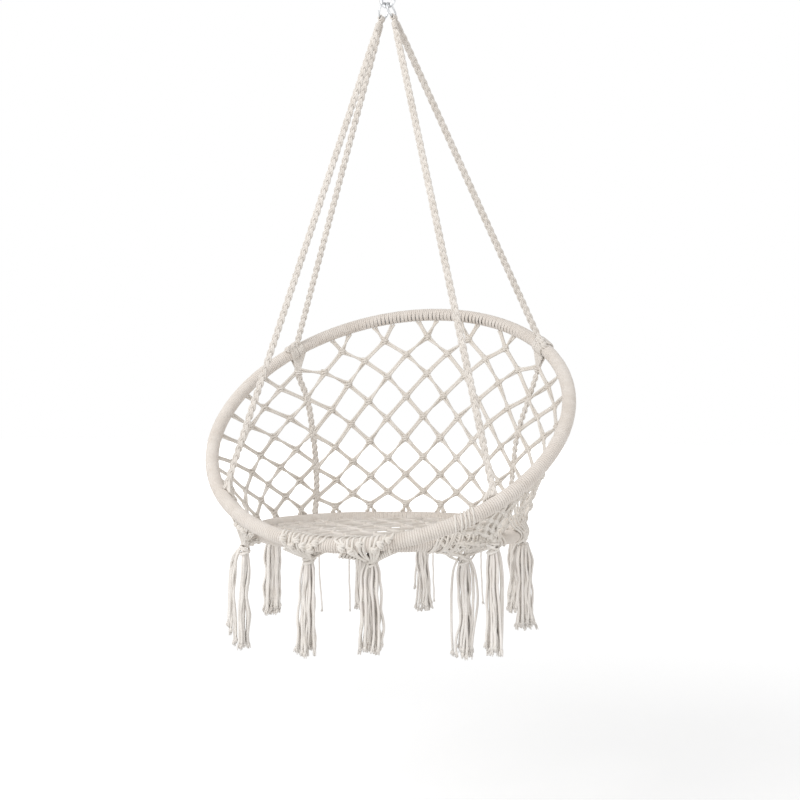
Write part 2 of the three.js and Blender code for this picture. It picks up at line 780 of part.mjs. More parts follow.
function looseStrand(length) {
  const across = new THREE.Vector3(1, 0, 0);
  const upward = new THREE.Vector3(0, 1, 0);
  const ringAt = (height, radius) =>
    circleOf(new THREE.Vector3(0, 0, height), across, upward, radius, cordSides);
  const knotRow = (rise) => ringAt(strandKnotRadius * Math.sin(rise), strandKnotRadius * Math.cos(rise));
  return loft([
    ...strandKnotRows.map(knotRow),
    ringAt(-strandKnotDrop, strandRadius),
    ringAt(-length, strandRadius),
  ]);
}

// The carabiner: a bent steel rod, open on one side, and a gate on a pin
const carabinerMiddle = bowCentreHeight + carabinerSide / 2;
const gateHingeHeight = carabinerMiddle - gateLength / 2 + tongueLength / 2;

function carabinerLine() {
  const line = [];
  const place = (x, z) => new THREE.Vector3(x, hangY, z);
  line.push(place(bowRadius, carabinerMiddle - gateLength / 2 - gateSwingGap));
  for (let step = 0; step <= carabinerBowSteps; step += 1) {
    const angle = -(Math.PI * step) / carabinerBowSteps;
    line.push(place(bowRadius * Math.cos(angle), bowCentreHeight + bowRadius * Math.sin(angle)));
  }
  for (let step = 0; step <= carabinerBowSteps; step += 1) {
    const angle = Math.PI - (Math.PI * step) / carabinerBowSteps;
    const height = bowCentreHeight + carabinerSide + bowRadius * Math.sin(angle);
    line.push(place(bowRadius * Math.cos(angle), height));
  }
  line.push(place(bowRadius, carabinerMiddle + gateLength / 2 + gateSlot));
  return line;
}

function carabinerBody() {
  const line = carabinerLine();
  const rings = line.map((place, i) => {
    const before = line[Math.max(i - 1, 0)];
    const after = line[Math.min(i + 1, line.length - 1)];
    const along = after.clone().sub(before).normalize();
    const [across, upward] = squareTo(along, new THREE.Vector3(0, 1, 0));
    return circleOf(place, across, upward, carabinerWireRadius, hoopSides);
  });
  const rod = solidOf(loft(rings));
  const tongueHeight = 2 * tongueLength + gateSwingGap;
  const tongue = new THREE.BoxGeometry(2 * gateRadius - gateSlot, tongueThickness, tongueHeight);
  tongue.translate(bowRadius, hangY, carabinerMiddle - gateLength / 2 + tongueLength - tongueHeight / 2);
  const hole = pinShape(gatePinRadius + gatePinSlack, carabinerWireRadius + cutOverrun);
  return geometryOf(rod.add(solidOf(tongue)).subtract(solidOf(hole)));
}

function pinShape(radius, halfLength) {
  const pin = new THREE.CylinderGeometry(radius, radius, 2 * halfLength, pinSides);
  pin.translate(bowRadius, hangY, gateHingeHeight);
  return pin;
}

function carabinerGate() {
  const bar = new THREE.CylinderGeometry(gateRadius, gateRadius, gateLength - gateSlot, tasselSides);
  bar.rotateX(Math.PI / 2);
  bar.translate(bowRadius, hangY, carabinerMiddle + gateSlot / 2);
  const slot = new THREE.BoxGeometry(
    2 * gateRadius + cutOverrun,
    tongueThickness + 2 * gateForkGap,
    2 * (tongueLength + gateSwingGap),
  );
  slot.translate(bowRadius, hangY, carabinerMiddle - gateLength / 2);
  const hole = pinShape(gatePinRadius + gatePinSlack, carabinerWireRadius + cutOverrun);
  return geometryOf(solidOf(bar).subtract(solidOf(slot)).subtract(solidOf(hole)));
}

// The carabiner and its gate
addPiece("carabiner_body", carabinerBody(), "steel");
addPiece("carabiner_gate", carabinerGate(), "steel");
addPiece("gate_pin", pinShape(gatePinRadius, gateRadius), "steel");
addRing("steel_ring_left", -1);
addRing("steel_ring_right", 1);

// The hoops
addHoop("back_hoop", backHoopPoint, backHoopRadius);
addHoop("seat_hoop", seatHoopPoint, seatHoopRadius);

// The ropes, the knots that hold them and the braids below the rear ones
for (const [word, side] of [["left", -1], ["right", 1]]) {
  const mirrored = (angle) => (side > 0 ? angle : Math.PI - angle);
  const rear = mirrored(rearRopeAngle);
  addPiece(`rope_front_${word}`, ropeGeometry(side, true, mirrored(frontRopeAngle)), "rope");
  addPiece(`rope_rear_${word}`, ropeGeometry(side, false, rear), "rope");
  addPiece(`rear_knot_${word}`, hoopGrip(rear), "cotton");
  addPiece(`corner_knot_${word}`, cornerKnot(word), "cotton");
  const braid = cordAlong(braidCourse(word), braidRadius, ropeSides, onGrip, onSeatWrap);
  addPiece(`rear_braid_${word}`, braid, "rope");
}

// The nets
addPiece("back_net", rearNet(), "net");
addPiece("side_net_left", sideNet("left"), "net");
addPiece("side_net_right", sideNet("right"), "net");
addPiece("seat_net", seatNet(), "net");

// The front lashings
addPiece("front_lashing_left", lashing("front_lashing_left", lashingAngles.left), "cotton");
addPiece("front_lashing_right", lashing("front_lashing_right", lashingAngles.right), "cotton");

// The tassels and the loose strands between them
const tasselHeadTop = tasselHeadRadius * Math.sin(tasselHeadRows[0]);
const strandKnotTop = strandKnotRadius * Math.sin(strandKnotRows[0]);
const wrapUnderside = -(wrapRadius * Math.cos(Math.PI / hoopSides) + touchGap);
const lashingUnderside = -(onWrap + 2 * lashingCordRadius + touchGap);
const underCorner = new THREE.Vector3(0, 0, -(cornerKnotRadius + touchGap + tasselHeadTop));

function addTassel(name, length, place) {
  addPiece(name, tassel(length), "cotton").position.copy(place);
}
for (const [name, { side, length }] of Object.entries(cornerTassels)) {
  addTassel(name, length, cornerKnotPlace(side).add(underCorner));
}
for (const [name, { side, length }] of Object.entries(lashingTassels)) {
  const drop = lashingUnderside - tasselHeadTop;
  addTassel(name, length, seatHoopPoint(lashingAngles[side], seatHoopRadius, drop));
}
for (const [name, { angle, length }] of Object.entries(seatTassels)) {
  addTassel(name, length, seatHoopPoint(angle, seatHoopRadius, wrapUnderside - tasselHeadTop));
}
for (const [name, { angle, length }] of Object.entries(seatStrands)) {
  const place = seatHoopPoint(angle, seatHoopRadius, wrapUnderside - strandKnotTop);
  addPiece(name, looseStrand(length), "cotton").position.copy(place);
}

// The whole chair, moved so that the inside of the carabiner's top bow is the origin
const hookHeight = bowCentreHeight + carabinerSide + bowRadius - carabinerWireRadius;
chair.position.set(0, -hangY, -hookHeight);
const hammockChair = new THREE.Group();
hammockChair.add(chair);

export default hammockChair;
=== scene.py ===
"""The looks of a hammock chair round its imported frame: two hoops in a close wrap of cotton cord, a net of twisted
cords tied in knots, braided ropes, gathers, tassels with frayed ends and the steel that it hangs on.
Metres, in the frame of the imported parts."""

import json
import random
from math import acos, atan2, ceil, cos, hypot, pi, radians, sin, sqrt, tau

import bmesh
import bpy
import numpy as np
from mathutils import Matrix, Vector
from numpy.linalg import norm


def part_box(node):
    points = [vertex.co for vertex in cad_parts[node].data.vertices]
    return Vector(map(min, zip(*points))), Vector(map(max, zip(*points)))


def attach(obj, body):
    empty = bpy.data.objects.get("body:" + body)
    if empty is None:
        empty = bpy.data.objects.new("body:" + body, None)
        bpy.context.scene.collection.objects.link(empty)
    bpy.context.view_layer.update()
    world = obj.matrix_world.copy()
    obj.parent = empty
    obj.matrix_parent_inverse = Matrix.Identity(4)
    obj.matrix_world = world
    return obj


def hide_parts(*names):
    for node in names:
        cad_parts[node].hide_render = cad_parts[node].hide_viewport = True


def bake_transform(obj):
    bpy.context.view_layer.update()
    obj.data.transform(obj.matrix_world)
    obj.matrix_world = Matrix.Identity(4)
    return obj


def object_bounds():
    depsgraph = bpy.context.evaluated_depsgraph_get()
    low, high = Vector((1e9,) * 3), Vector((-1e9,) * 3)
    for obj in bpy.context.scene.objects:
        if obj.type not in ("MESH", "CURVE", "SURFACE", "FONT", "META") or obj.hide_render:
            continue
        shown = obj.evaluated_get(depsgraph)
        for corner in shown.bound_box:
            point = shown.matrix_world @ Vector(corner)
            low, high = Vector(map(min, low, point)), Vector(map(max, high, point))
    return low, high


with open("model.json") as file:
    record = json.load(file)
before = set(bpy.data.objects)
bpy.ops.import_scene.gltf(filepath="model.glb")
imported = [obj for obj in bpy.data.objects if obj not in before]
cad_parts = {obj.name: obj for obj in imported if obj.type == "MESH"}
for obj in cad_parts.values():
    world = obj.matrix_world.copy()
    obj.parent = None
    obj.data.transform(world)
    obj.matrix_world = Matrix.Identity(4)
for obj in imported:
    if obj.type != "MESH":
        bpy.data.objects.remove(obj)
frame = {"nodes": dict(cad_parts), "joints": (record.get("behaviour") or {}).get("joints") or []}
cad_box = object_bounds()

# Studio and steel
world_level = 0.74
floor_drop = 0.42
forged_smooth = radians(38)


def vec(x, y, z):
    return np.array([x, y, z], float)


# Hoops
back_hoop_radius = 0.3855
seat_hoop_radius = 0.28
back_hoop_tilt = radians(38.9)
tube_radius = 0.0113
wrap_radius = 0.0145
wrap_pitch = 0.0048
hoops_gap = 0.0005
sunk_reach = wrap_radius - 0.001
seat_centre = np.array(sum(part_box("seat_hoop"), Vector()) / 2)

# Cords
net_cord = 0.0029
seat_cord = 0.0031
rope_cord = 0.0022
tassel_cord = 0.0026
golden_angle = radians(137.5)
lattice_cord = 0.0021
strand_cord = 0.002
binding_cord = 0.0013

# Rings and ropes
ring_radius = 0.017
ring_wire = 0.002
ring_lean = radians(18.3)
ring_twist = radians(10)
ring_spread = 0.0055
bow_radius = 0.014
bow_wire = 0.004
eye_angle = radians(9)
touch_gap = 0.0003
ring_bottom = seat_centre[2] + 1.095
front_rope_angle = radians(-42.4)
rear_rope_angle = radians(39.4)
eye_cord = 0.8 * rope_cord
plait_start = 0.006
plait_full = 0.042
plait_step = 0.0032
binding_turns = 7
binding_long = 0.017
binding_reach = 0.0056

# The braids' course: how far down from the back hoop to the seat hoop, and at which angle
braid_shares = [0, 0.15, 0.3, 0.5, 0.65, 0.82, 1]
braid_angles = {
    "right": np.radians([39.4, 39.6, 41.4, 44.2, 43.6, 41, 36]),
    "left": np.radians([140.6, 140.9, 139.1, 139.4, 140.3, 142.6, 147]),
}

# Nets, as shares of the way between what holds them
rear_row_shares = [0.07, 0.13, 0.215, 0.3, 0.395, 0.5, 0.6, 0.71, 0.81, 0.89]
rear_column_shares = [0, 0.1, 0.18, 0.26, 0.34, 0.42, 0.5, 0.58, 0.66, 0.74, 0.82, 0.9, 1]
side_column_shares = [0, 0.108, 0.226, 0.345, 0.45, 0.577, 0.67, 0.75, 0.825, 0.9, 1]
side_hoop_shares = [0, 0.2, 0.323, 0.454, 0.59, 0.733, 0.79, 0.845, 0.885, 0.925]
side_top_share = 0.885
side_top_fall_share = 0.045
side_row_spread_share = 1.08
seat_foot_share = 0.36
top_foot_angle = radians(4.6)
seat_net_column = 0.086
seat_net_row = 0.045
seat_net_edge = 0.026
rear_gather_share = 0.865
easing_rounds = 60
edge_pull = 0.85
net_slack_bottom = 0.006
net_slack_top = 0.078

# Corner knots and lashings
corner_knot_angles = {"left": radians(217.2), "right": radians(-35.6)}
corner_knot_reach = {"left": 0.044, "right": 0.057}
corner_knot_lift = 0.012
corner_drop = {"left": vec(0.015, 0, -0.034), "right": vec(0.004, 0, -0.012)}

# Directions
both_sides = (("left", -1), ("right", 1))
across = vec(1, 0, 0)
upward = vec(0, 0, 1)
back_slope = vec(0, cos(back_hoop_tilt), sin(back_hoop_tilt))
back_lift = vec(0, -sin(back_hoop_tilt), cos(back_hoop_tilt))
hoops_front = -(seat_hoop_radius + 2 * wrap_radius + hoops_gap)
back_centre = seat_centre + [0, hoops_front, 0] + back_hoop_radius * back_slope


# -------------------- places on the hoops


def back_hoop_point(angle, radius=back_hoop_radius, lift=0.0):
    flat = radius * (cos(angle) * across + sin(angle) * back_slope)
    return back_centre + flat + lift * back_lift


def seat_hoop_point(angle, radius=seat_hoop_radius, lift=0.0):
    return seat_centre + [radius * cos(angle), radius * sin(angle), lift]


def mix(a, b, share):
    return a + (b - a) * share


def unit(way):
    return way / norm(way)


def mirrored(angle, side):
    """An angle round a hoop, on the left where the side is below 0."""
    return angle if side > 0 else pi - angle


def back_place(angle, share):
    return mix(seat_hoop_point(angle), back_hoop_point(angle), share)


def back_normal(angle):
    along = vec(-sin(angle), cos(angle), 0)
    return unit(np.cross(along, back_hoop_point(angle) - seat_hoop_point(angle)))


def braid_angle(side, share):
    return float(np.interp(1 - share, braid_shares, braid_angles[side]))


def from_seat_hoop(point):
    local = point - seat_centre
    return hypot(hypot(local[0], local[1]) - seat_hoop_radius, local[2])


def from_back_hoop(point):
    local = point - back_centre
    flat = hypot(local @ across, local @ back_slope)
    return hypot(flat - back_hoop_radius, local @ back_lift)


def stop_at(start, end, distance, wanted):
    """The place on the way from start to end that is this far from a hoop's middle."""
    for share in np.linspace(0, 1, 80):
        place = mix(start, end, share)
        if distance(place) < wanted:
            return place
    return end


# -------------------- cords


def smooth_line(points, step=0.003):
    """A smooth line through points, with places about a step apart."""
    points = np.array(points, float)
    ends = [2 * points[0] - points[1], *points, 2 * points[-1] - points[-2]]
    line = []
    for a, b, c, d in zip(ends, ends[1:], ends[2:], ends[3:]):
        count = max(1, round(norm(c - b) / step))
        for t in np.arange(count) / count:
            curve = 2 * b + (c - a) * t + (2 * a - 5 * b + 4 * c - d) * t**2
            line.append((curve + (3 * b - a - 3 * c + d) * t**3) / 2)
    return np.array([*line, points[-1]])


def carried_frames(line, closed=False):
    """Two directions square to a line at each of its places, carried along it without twist."""
    if closed:
        ways = np.roll(line, -1, axis=0) - np.roll(line, 1, axis=0)
    else:
        ways = np.gradient(line, axis=0)
    ways = ways / norm(ways, axis=1)[:, None]
    hint = upward if abs(ways[0][2]) < 0.9 else across
    first = unit(np.cross(ways[0], hint))
    sides = [first]
    for way in ways[1:]:
        side = sides[-1] - way * (sides[-1] @ way)
        sides.append(side / norm(side))
    sides = np.array(sides)
    return sides, np.cross(ways, sides)


class Cords:
    """Cords that are made one piece."""

    def __init__(self):
        self.points, self.faces, self.places = [], [], []
        self.count = 0

    def skin(self, rings, closed=False):
        """A tube through rings of points, with its length and its turn kept for the material."""
        steps, sides = rings.shape[:2]
        first = self.count
        self.points.append(rings.reshape(-1, 3))
        self.count += steps * sides
        middles = rings.mean(axis=1)
        lengths = np.concatenate([[0], np.cumsum(norm(np.diff(middles, axis=0), axis=1))])
        spans = steps if closed else steps - 1
        for i in range(spans):
            here, there = first + i * sides, first + (i + 1) % steps * sides
            far = lengths[i + 1] if i + 1 < steps else lengths[i] + lengths[1]
            for k in range(sides):
                turned = (k + 1) % sides
                self.faces.append((here + k, here + turned, there + turned, there + k))
                low, high = k / sides, (k + 1) / sides
                self.places += [(lengths[i], low), (lengths[i], high), (far, high), (far, low)]
        if not closed:
            last = first + (steps - 1) * sides
            self.faces.append(tuple(range(first + sides - 1, first - 1, -1)))
            self.faces.append(tuple(range(last, last + sides)))
            self.places += [(0, k / sides) for k in range(sides - 1, -1, -1)]
            self.places += [(lengths[-1], k / sides) for k in range(sides)]

    def add(self, line, radius, closed=False, sides=6):
        normals, binormals = carried_frames(line, closed)
        turns = np.arange(sides) / sides * tau
        reach = np.broadcast_to(np.asarray(radius, float), (len(line),))[:, None, None]
        spokes = np.cos(turns)[None, :, None] * normals[:, None] + np.sin(turns)[None, :, None] * binormals[:, None]
        self.skin(line[:, None] + reach * spokes, closed)

    def turn(self, centre, one, other, count, radius, sides=6):
        """A closed loop round a centre, from its two half axes."""
        turns = (np.arange(count) / count * tau)[:, None]
        self.add(centre + np.cos(turns) * one + np.sin(turns) * other, radius, True, sides)

    def make(self, name, material):
        mesh = bpy.data.meshes.new(name)
        mesh.from_pydata(np.concatenate(self.points).tolist(), [], self.faces)
        layer = mesh.uv_layers.new(name="Along")
        layer.data.foreach_set("uv", np.array([(100 * u, v) for u, v in self.places]).ravel())
        mesh.polygons.foreach_set("use_smooth", [True] * len(mesh.polygons))
        mesh.materials.append(material)
        piece = bpy.data.objects.new(name, mesh)
        bpy.context.scene.collection.objects.link(piece)
        return piece

    def make_on(self, body, name, material, slot, *nodes):
        """Makes a piece that rides on a body, in place of solids."""
        piece = self.make(name, material)
        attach(piece, body)
        if nodes:
            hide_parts(*nodes)
        return piece


def twisted_pair(cords, start, end, normal, turn=0, sag=0.0, radius=net_cord):
    """Two cords side by side or crossed between knots, and spread where the knots take them in."""
    along = end - start
    side = unit(np.cross(normal, along))
    square = unit(np.cross(along, side))
    t = np.linspace(0, 1, max(10, round(norm(along) / 0.0027)) + 1)[:, None]
    middle = start + t * along - upward * sag * 4 * t * (1 - t)
    spread = radius * (0.68 + 0.75 * np.abs(2 * t - 1) ** 3)
    angle = pi * (0.5 + turn * t)
    for sign in (1, -1):
        cords.add(middle + sign * spread * (np.sin(angle) * side + np.cos(angle) * square), radius)


def tied_knot(cords, place, normal, rise, size=1.0):
    """A square knot where four pairs meet: loops drawn tight round them, leaning against each other."""
    side = unit(np.cross(rise, normal))
    facing = unit(normal)
    loops = ((0.0044, 0.4, 0.0062, 0.004), (0.0, -0.12, 0.0074, 0.0048), (-0.0044, -0.4, 0.0062, 0.004))
    for shift, lean, wide, deep in loops:
        centre = place + rise * shift * size
        across_knot = unit(side + lean * rise) * wide * size
        cords.turn(centre, across_knot, facing * deep * size, 8, net_cord, 5)


def lattice(cords, feet, tip, normal, chance):
    """A triangle of knotted pairs that narrows from feet on a hoop to one place."""
    level = [np.array(foot) for foot in feet]
    while len(level) > 1:
        below = [mix(mix(a, b, 0.5), tip, 1 / (len(level) - 0.35)) for a, b in zip(level, level[1:])]
        for number, place in enumerate(below):
            for start in level[number : number + 2]:
                twisted_pair(cords, start, place, normal, chance.choice((0, 1, -1)), radius=lattice_cord)
            tied_knot(cords, place, normal, upward, 0.62)
        level = below
    twisted_pair(cords, level[0], tip, normal, radius=lattice_cord)


def round_hoop(point_at, hoop_radius, angle, reach, start, end, way, steps=7):
    """Places on a hoop's wrap, from the side that faces start to the side that faces end."""
    middle = point_at(angle)
    outward = unit(point_at(angle, hoop_radius + 0.01) - middle)
    level = unit(point_at(angle, hoop_radius, 0.01) - middle)

    def facing(place):
        local = place - middle
        return atan2(local @ level, local @ outward)

    first, last = facing(np.array(start)), facing(np.array(end))
    turned = (last - first) % tau
    if way < 0:
        turned -= tau
    bearings = first + turned * np.linspace(0.12, 0.88, steps)
    return [middle + reach * (cos(b) * outward + sin(b) * level) for b in bearings]


# -------------------- materials


class Nodes:
    """The nodes of a material or of the world, made and linked by short calls."""

    def __init__(self, owner):
        owner.use_nodes = True
        self.tree = owner.node_tree

    def put(self, node, inputs):
        """Gives a node's inputs links, colours or numbers."""
        for name, value in inputs.items():
            socket = node.inputs[name]
            if isinstance(value, bpy.types.NodeSocket):
                self.tree.links.new(value, socket)
            else:
                socket.default_value = (*value, 1) if socket.type == "RGBA" else value

    def add(self, kind, inputs, **settings):
        node = self.tree.nodes.new(f"ShaderNode{kind}")
        for name, value in settings.items():
            setattr(node, name, value)
        self.put(node, inputs)
        return node.outputs

    def maths(self, operation, *values):
        return self.add("Math", dict(enumerate(values)), operation=operation)[0]

    def mean(self, first, second, share):
        """Two values added, the first times its share and the second times the rest."""
        return self.maths("ADD", self.maths("MULTIPLY", first, share), self.maths("MULTIPLY", second, 1 - share))

    def noise(self, where, scale, detail, roughness=0.5):
        return self.add("TexNoise", {"Vector": where, "Scale": scale, "Detail": detail, "Roughness": roughness})["Fac"]

    def ramp(self, value, low, high, to_low=0.0, to_high=1.0):
        limits = {"From Min": low, "From Max": high, "To Min": to_low, "To Max": to_high}
        return self.add("MapRange", {"Value": value, **limits})["Result"]

    def colours(self, factor, first, second, blend="MIX"):
        return self.add("Mix", {0: factor, 6: first, 7: second}, data_type="RGBA", blend_type=blend)[2]

    def bump(self, height, strength, distance):
        return self.add("Bump", {"Height": height, "Strength": strength, "Distance": distance})["Normal"]

    def object_place(self):
        return self.add("TexCoord", {})["Object"]

    def rays(self, *kinds):
        """1 for a ray of one of these kinds, or else 0."""
        path = self.add("LightPath", {})
        seen = path[f"Is {kinds[0]} Ray"]
        for kind in kinds[1:]:
            seen = self.maths("MAXIMUM", seen, path[f"Is {kind} Ray"])
        return seen


def finish(name):
    material = bpy.data.materials.new(name)
    tree = Nodes(material)
    return material, tree, material.node_tree.nodes["Principled BSDF"]


def cotton(name, pale, deep, plies, pitch_cm, groove_shade_depth):
    """Twisted cotton: plies that wind along the cord, loose fibres over them, an uneven natural tone and painted shade
    that darkens the grooves between the plies.
    """
    material, tree, shader = finish(name)
    maths, noise, ramp = tree.maths, tree.noise, tree.ramp
    cord = tree.add("SeparateXYZ", {0: tree.add("UVMap", {}, uv_map="Along")["UV"]})
    phase = maths("ADD", maths("MULTIPLY", cord["X"], 1 / pitch_cm), maths("MULTIPLY", cord["Y"], plies))
    ply = maths("POWER", maths("ABSOLUTE", maths("SINE", maths("MULTIPLY", phase, pi))), 0.6)
    where = tree.object_place()
    fibres = noise(where, 1400, 4, 0.65)
    uneven = tree.mean(noise(where, 38, 3), noise(where, 7, 2), 0.6)
    # Painted shade: the base colour is darkened in the grooves between the plies, by up to the groove depth; the fibre
    # flecks mixed in are the cord's own tone.
    shade = maths("MULTIPLY", ramp(ply, 0, 0.55, 1 - groove_shade_depth, 1), ramp(fibres, 0.3, 0.7, 0.975, 1.015))
    groove_shade_and_fibre_tint = tree.add("CombineColor", dict.fromkeys(range(3), shade))[0]
    height = maths("ADD", maths("MULTIPLY", ply, 0.8), maths("MULTIPLY", fibres, 0.12))
    tree.put(
        shader,
        {
            "Base Color": tree.colours(1, tree.colours(ramp(uneven, 0.36, 0.64), deep, pale), groove_shade_and_fibre_tint, "MULTIPLY"),
            "Normal": tree.bump(height, 0.5, 0.0004),
            "Roughness": ramp(fibres, 0.3, 0.7, 0.86, 0.98),
            "Specular IOR Level": 0.2,
            "Sheen Weight": 0.18,
            "Sheen Roughness": 0.5,
        },
    )
    return material


def metal(name, bright, dull, smoothest, roughest, stretch):
    """Steel with the fine lines of its drawing and a few duller patches."""
    material, tree, shader = finish(name)
    where = tree.object_place()
    drawn = tree.add("Mapping", {"Vector": where, "Scale": stretch})["Vector"]
    lines, patches = tree.noise(drawn, 900, 4, 0.6), tree.noise(where, 120, 3)
    tree.put(
        shader,
        {
            "Base Color": tree.colours(tree.ramp(patches, 0.35, 0.65), dull, bright),
            "Roughness": tree.ramp(tree.mean(lines, patches, 0.5), 0.3, 0.7, smoothest, roughest),
            "Normal": tree.bump(lines, 0.12, 0.0002),
            "Metallic": 1,
        },
    )
    return material


wrap_cotton = cotton("wrap_cord_ivory_cotton", (0.765, 0.713, 0.662), (0.69, 0.63, 0.572), 2, 0.55, 0.16)
net_cotton = cotton("net_cord_natural_cotton", (0.785, 0.74, 0.685), (0.69, 0.635, 0.57), 3, 0.62, 0.20)
# Painted shade: the seat net's cotton is a darker copy of the net cord's cotton, for the shade that falls on the seat
# net.
seat_shaded_cotton = cotton("seat_cord_natural_cotton", (0.76, 0.71, 0.66), (0.66, 0.605, 0.545), 3, 0.62, 0.22)
rope_cotton = cotton("braided_rope_cotton", (0.785, 0.74, 0.69), (0.69, 0.64, 0.585), 3, 0.6, 0.20)
# Painted light: the tassels' cotton is a lighter copy of the lashing cord's cotton, lifting the shade between the
# tassels' cords.
tassel_painted_light_cotton = cotton("tassel_cord_cotton", (0.855, 0.82, 0.78), (0.79, 0.745, 0.695), 3, 0.58, 0.1)
lashing_cotton = cotton("lashing_cord_cotton", (0.815, 0.775, 0.725), (0.73, 0.68, 0.62), 3, 0.58, 0.12)
galvanised_steel = metal("galvanised_steel", (0.66, 0.67, 0.68), (0.52, 0.53, 0.54), 0.22, 0.42, (1, 1, 0.15))
tube_steel = metal("painted_tube_steel", (0.42, 0.43, 0.44), (0.34, 0.35, 0.36), 0.4, 0.6, (1, 1, 1))


# -------------------- camera, floor and light


def aimed(thing, way):
    """Turns a camera or a lamp so that it looks along a way."""
    thing.rotation_mode = "QUATERNION"
    thing.rotation_quaternion = Vector(way).to_track_quat("-Z", "Y")


def place_camera():
    azimuth, elevation, away = radians(18.27), radians(-0.71), 2.3704
    aim = seat_centre + [0.02285, 0.00754, 0.2769]
    back = vec(sin(azimuth) * cos(elevation), -cos(azimuth) * cos(elevation), sin(elevation))
    bpy.ops.object.camera_add(location=aim + away * back)
    camera = bpy.context.object
    aimed(camera, -back)
    camera.data.lens = 49.81
    camera.data.sensor_width = 36
    camera.data.clip_start = 0.05
    bpy.context.scene.camera = camera


def background_light():
    """White to the camera and in reflections, and a plain level on the chair."""
    world = bpy.data.worlds.new("studio")
    bpy.context.scene.world = world
    tree = Nodes(world)
    level = tree.ramp(tree.rays("Camera", "Glossy", "Transmission"), 0, 1, world_level, 1)
    tree.put(world.node_tree.nodes["Background"], {"Color": (1, 1, 1), "Strength": level})


def studio_floor(height):
    """A pale floor that keeps the chair's shadow and turns to plain white with the distance."""
    bpy.ops.mesh.primitive_plane_add(size=60, location=(0, 0, height))
    floor = bpy.context.object
    floor.name = "studio_floor"
    material, tree, shader = finish("white_studio_floor")
    place = tree.add("NewGeometry", {})["Position"]
    away = tree.add("VectorMath", {0: place}, operation="LENGTH")["Value"]
    glow = tree.ramp(away, 2.2, 9, 0.16, 1)
    tree.put(
        shader,
        {
            "Base Color": (0.92, 0.92, 0.92),
            "Roughness": 0.9,
            "Specular IOR Level": 0,
            "Emission Color": (1, 1, 1),
            "Emission Strength": tree.maths("MULTIPLY", tree.rays("Camera", "Glossy"), glow),
        },
    )
    floor.data.materials.append(material)


def soft_lamp(name, place, aim, size, power):
    bpy.ops.object.light_add(type="AREA", location=place)
    lamp = bpy.context.object
    lamp.name = name
    lamp.data.shape = "DISK"
    lamp.data.size = size
    lamp.data.energy = power
    aimed(lamp, Vector(aim) - Vector(place))


# -------------------- the ropes


def ring_frame(side):
    """How a ring hangs: its centre, the way it pulls, and the level way in its plane."""
    pull = vec(side * sin(ring_lean), 0, -cos(ring_lean))
    level = vec(sin(ring_twist), cos(ring_twist), 0)
    level = unit(level - pull * (level @ pull))
    bow_to_ring = bow_wire + ring_wire + touch_gap
    drop = 2 * ring_radius * cos(ring_lean)
    bow_point = ring_bottom + drop - bow_to_ring * cos(ring_lean)
    bow = vec(side * ring_spread, 0, bow_point)
    return pull, level, bow + pull * (ring_radius - bow_to_ring)


def unit_rows(ways):
    return ways / norm(ways, axis=1)[:, None]


def plait(cords, line, hint, wide, deep, period, radius, spread):
    """Three strands of two cords each, plaited along a line, with the hint square to the plait's flat side."""
    ways = unit_rows(np.gradient(line, axis=0))
    flat = unit_rows(np.cross(ways, hint))
    thick = np.cross(flat, ways)
    lengths = np.concatenate([[0], np.cumsum(norm(np.diff(line, axis=0), axis=1))])
    for number in range(3):
        phase = lengths / period * tau + number * tau / 3
        strand = line + flat * (wide * np.sin(phase))[:, None] + thick * (deep * np.sin(2 * phase))[:, None]
        beside = unit_rows(np.cross(np.gradient(strand, axis=0), thick))
        for sign in (1, -1):
            cords.add(strand + sign * beside * np.reshape(spread, (-1, 1)), radius)


def free_cord(line):
    tuple(line[0])
    float(norm(np.diff(line, axis=0), axis=1).sum())
    [tuple(place) for place in line]


def rope(word, side, front):
    """A plaited rope: cords folded over the ring, bound below it, and plaited down to the back hoop."""
    pull, level, centre = ring_frame(side)
    angle = -eye_angle if front else eye_angle
    spoke = pull * cos(angle) + level * sin(angle)
    wire = centre + spoke * ring_radius
    wire_way = level * cos(angle) - pull * sin(angle)
    hoop = back_hoop_point(mirrored(front_rope_angle if front else rear_rope_angle, side))
    way = unit(hoop - wire)
    length = norm(hoop - wire)
    start, end = wire + way * plait_start, hoop - way * (wrap_radius + 0.001)
    shares = np.linspace(0, 1, round(length / plait_step))
    line = start + (end - start) * shares[:, None]
    swell = np.clip(0.45 + shares * length / plait_full * 0.55, 0, 1)
    cords = Cords()
    plait(cords, line, [0, -1, 0], 0.004 * swell, 0.0026 * swell, 0.052, rope_cord, 0.0016 * swell)
    around = unit(np.cross(wire_way, way))
    reach = ring_wire + touch_gap + eye_cord
    for shift in (-1, 0, 1):
        middle = wire + wire_way * shift * 0.0035 - spoke * abs(shift) * 0.0004
        cords.turn(middle, way * (reach + 0.0012), around * reach, 14, eye_cord)
    shares = np.arange(0, 1.001, 1 / 84)
    turned = shares * binding_turns * tau
    coil = start + way * 0.006 + np.outer(shares, way) * binding_long
    coil += binding_reach * (np.outer(np.cos(turned), around) + np.outer(np.sin(turned), np.cross(way, around)))
    cords.add(coil, binding_cord)
    place = "front" if front else "rear"
    piece = cords.make_on("chair", f"plaited_rope_{place}_{word}", rope_cotton, "rope", f"rope_{place}_{word}")
    free_cord([wire, *line])


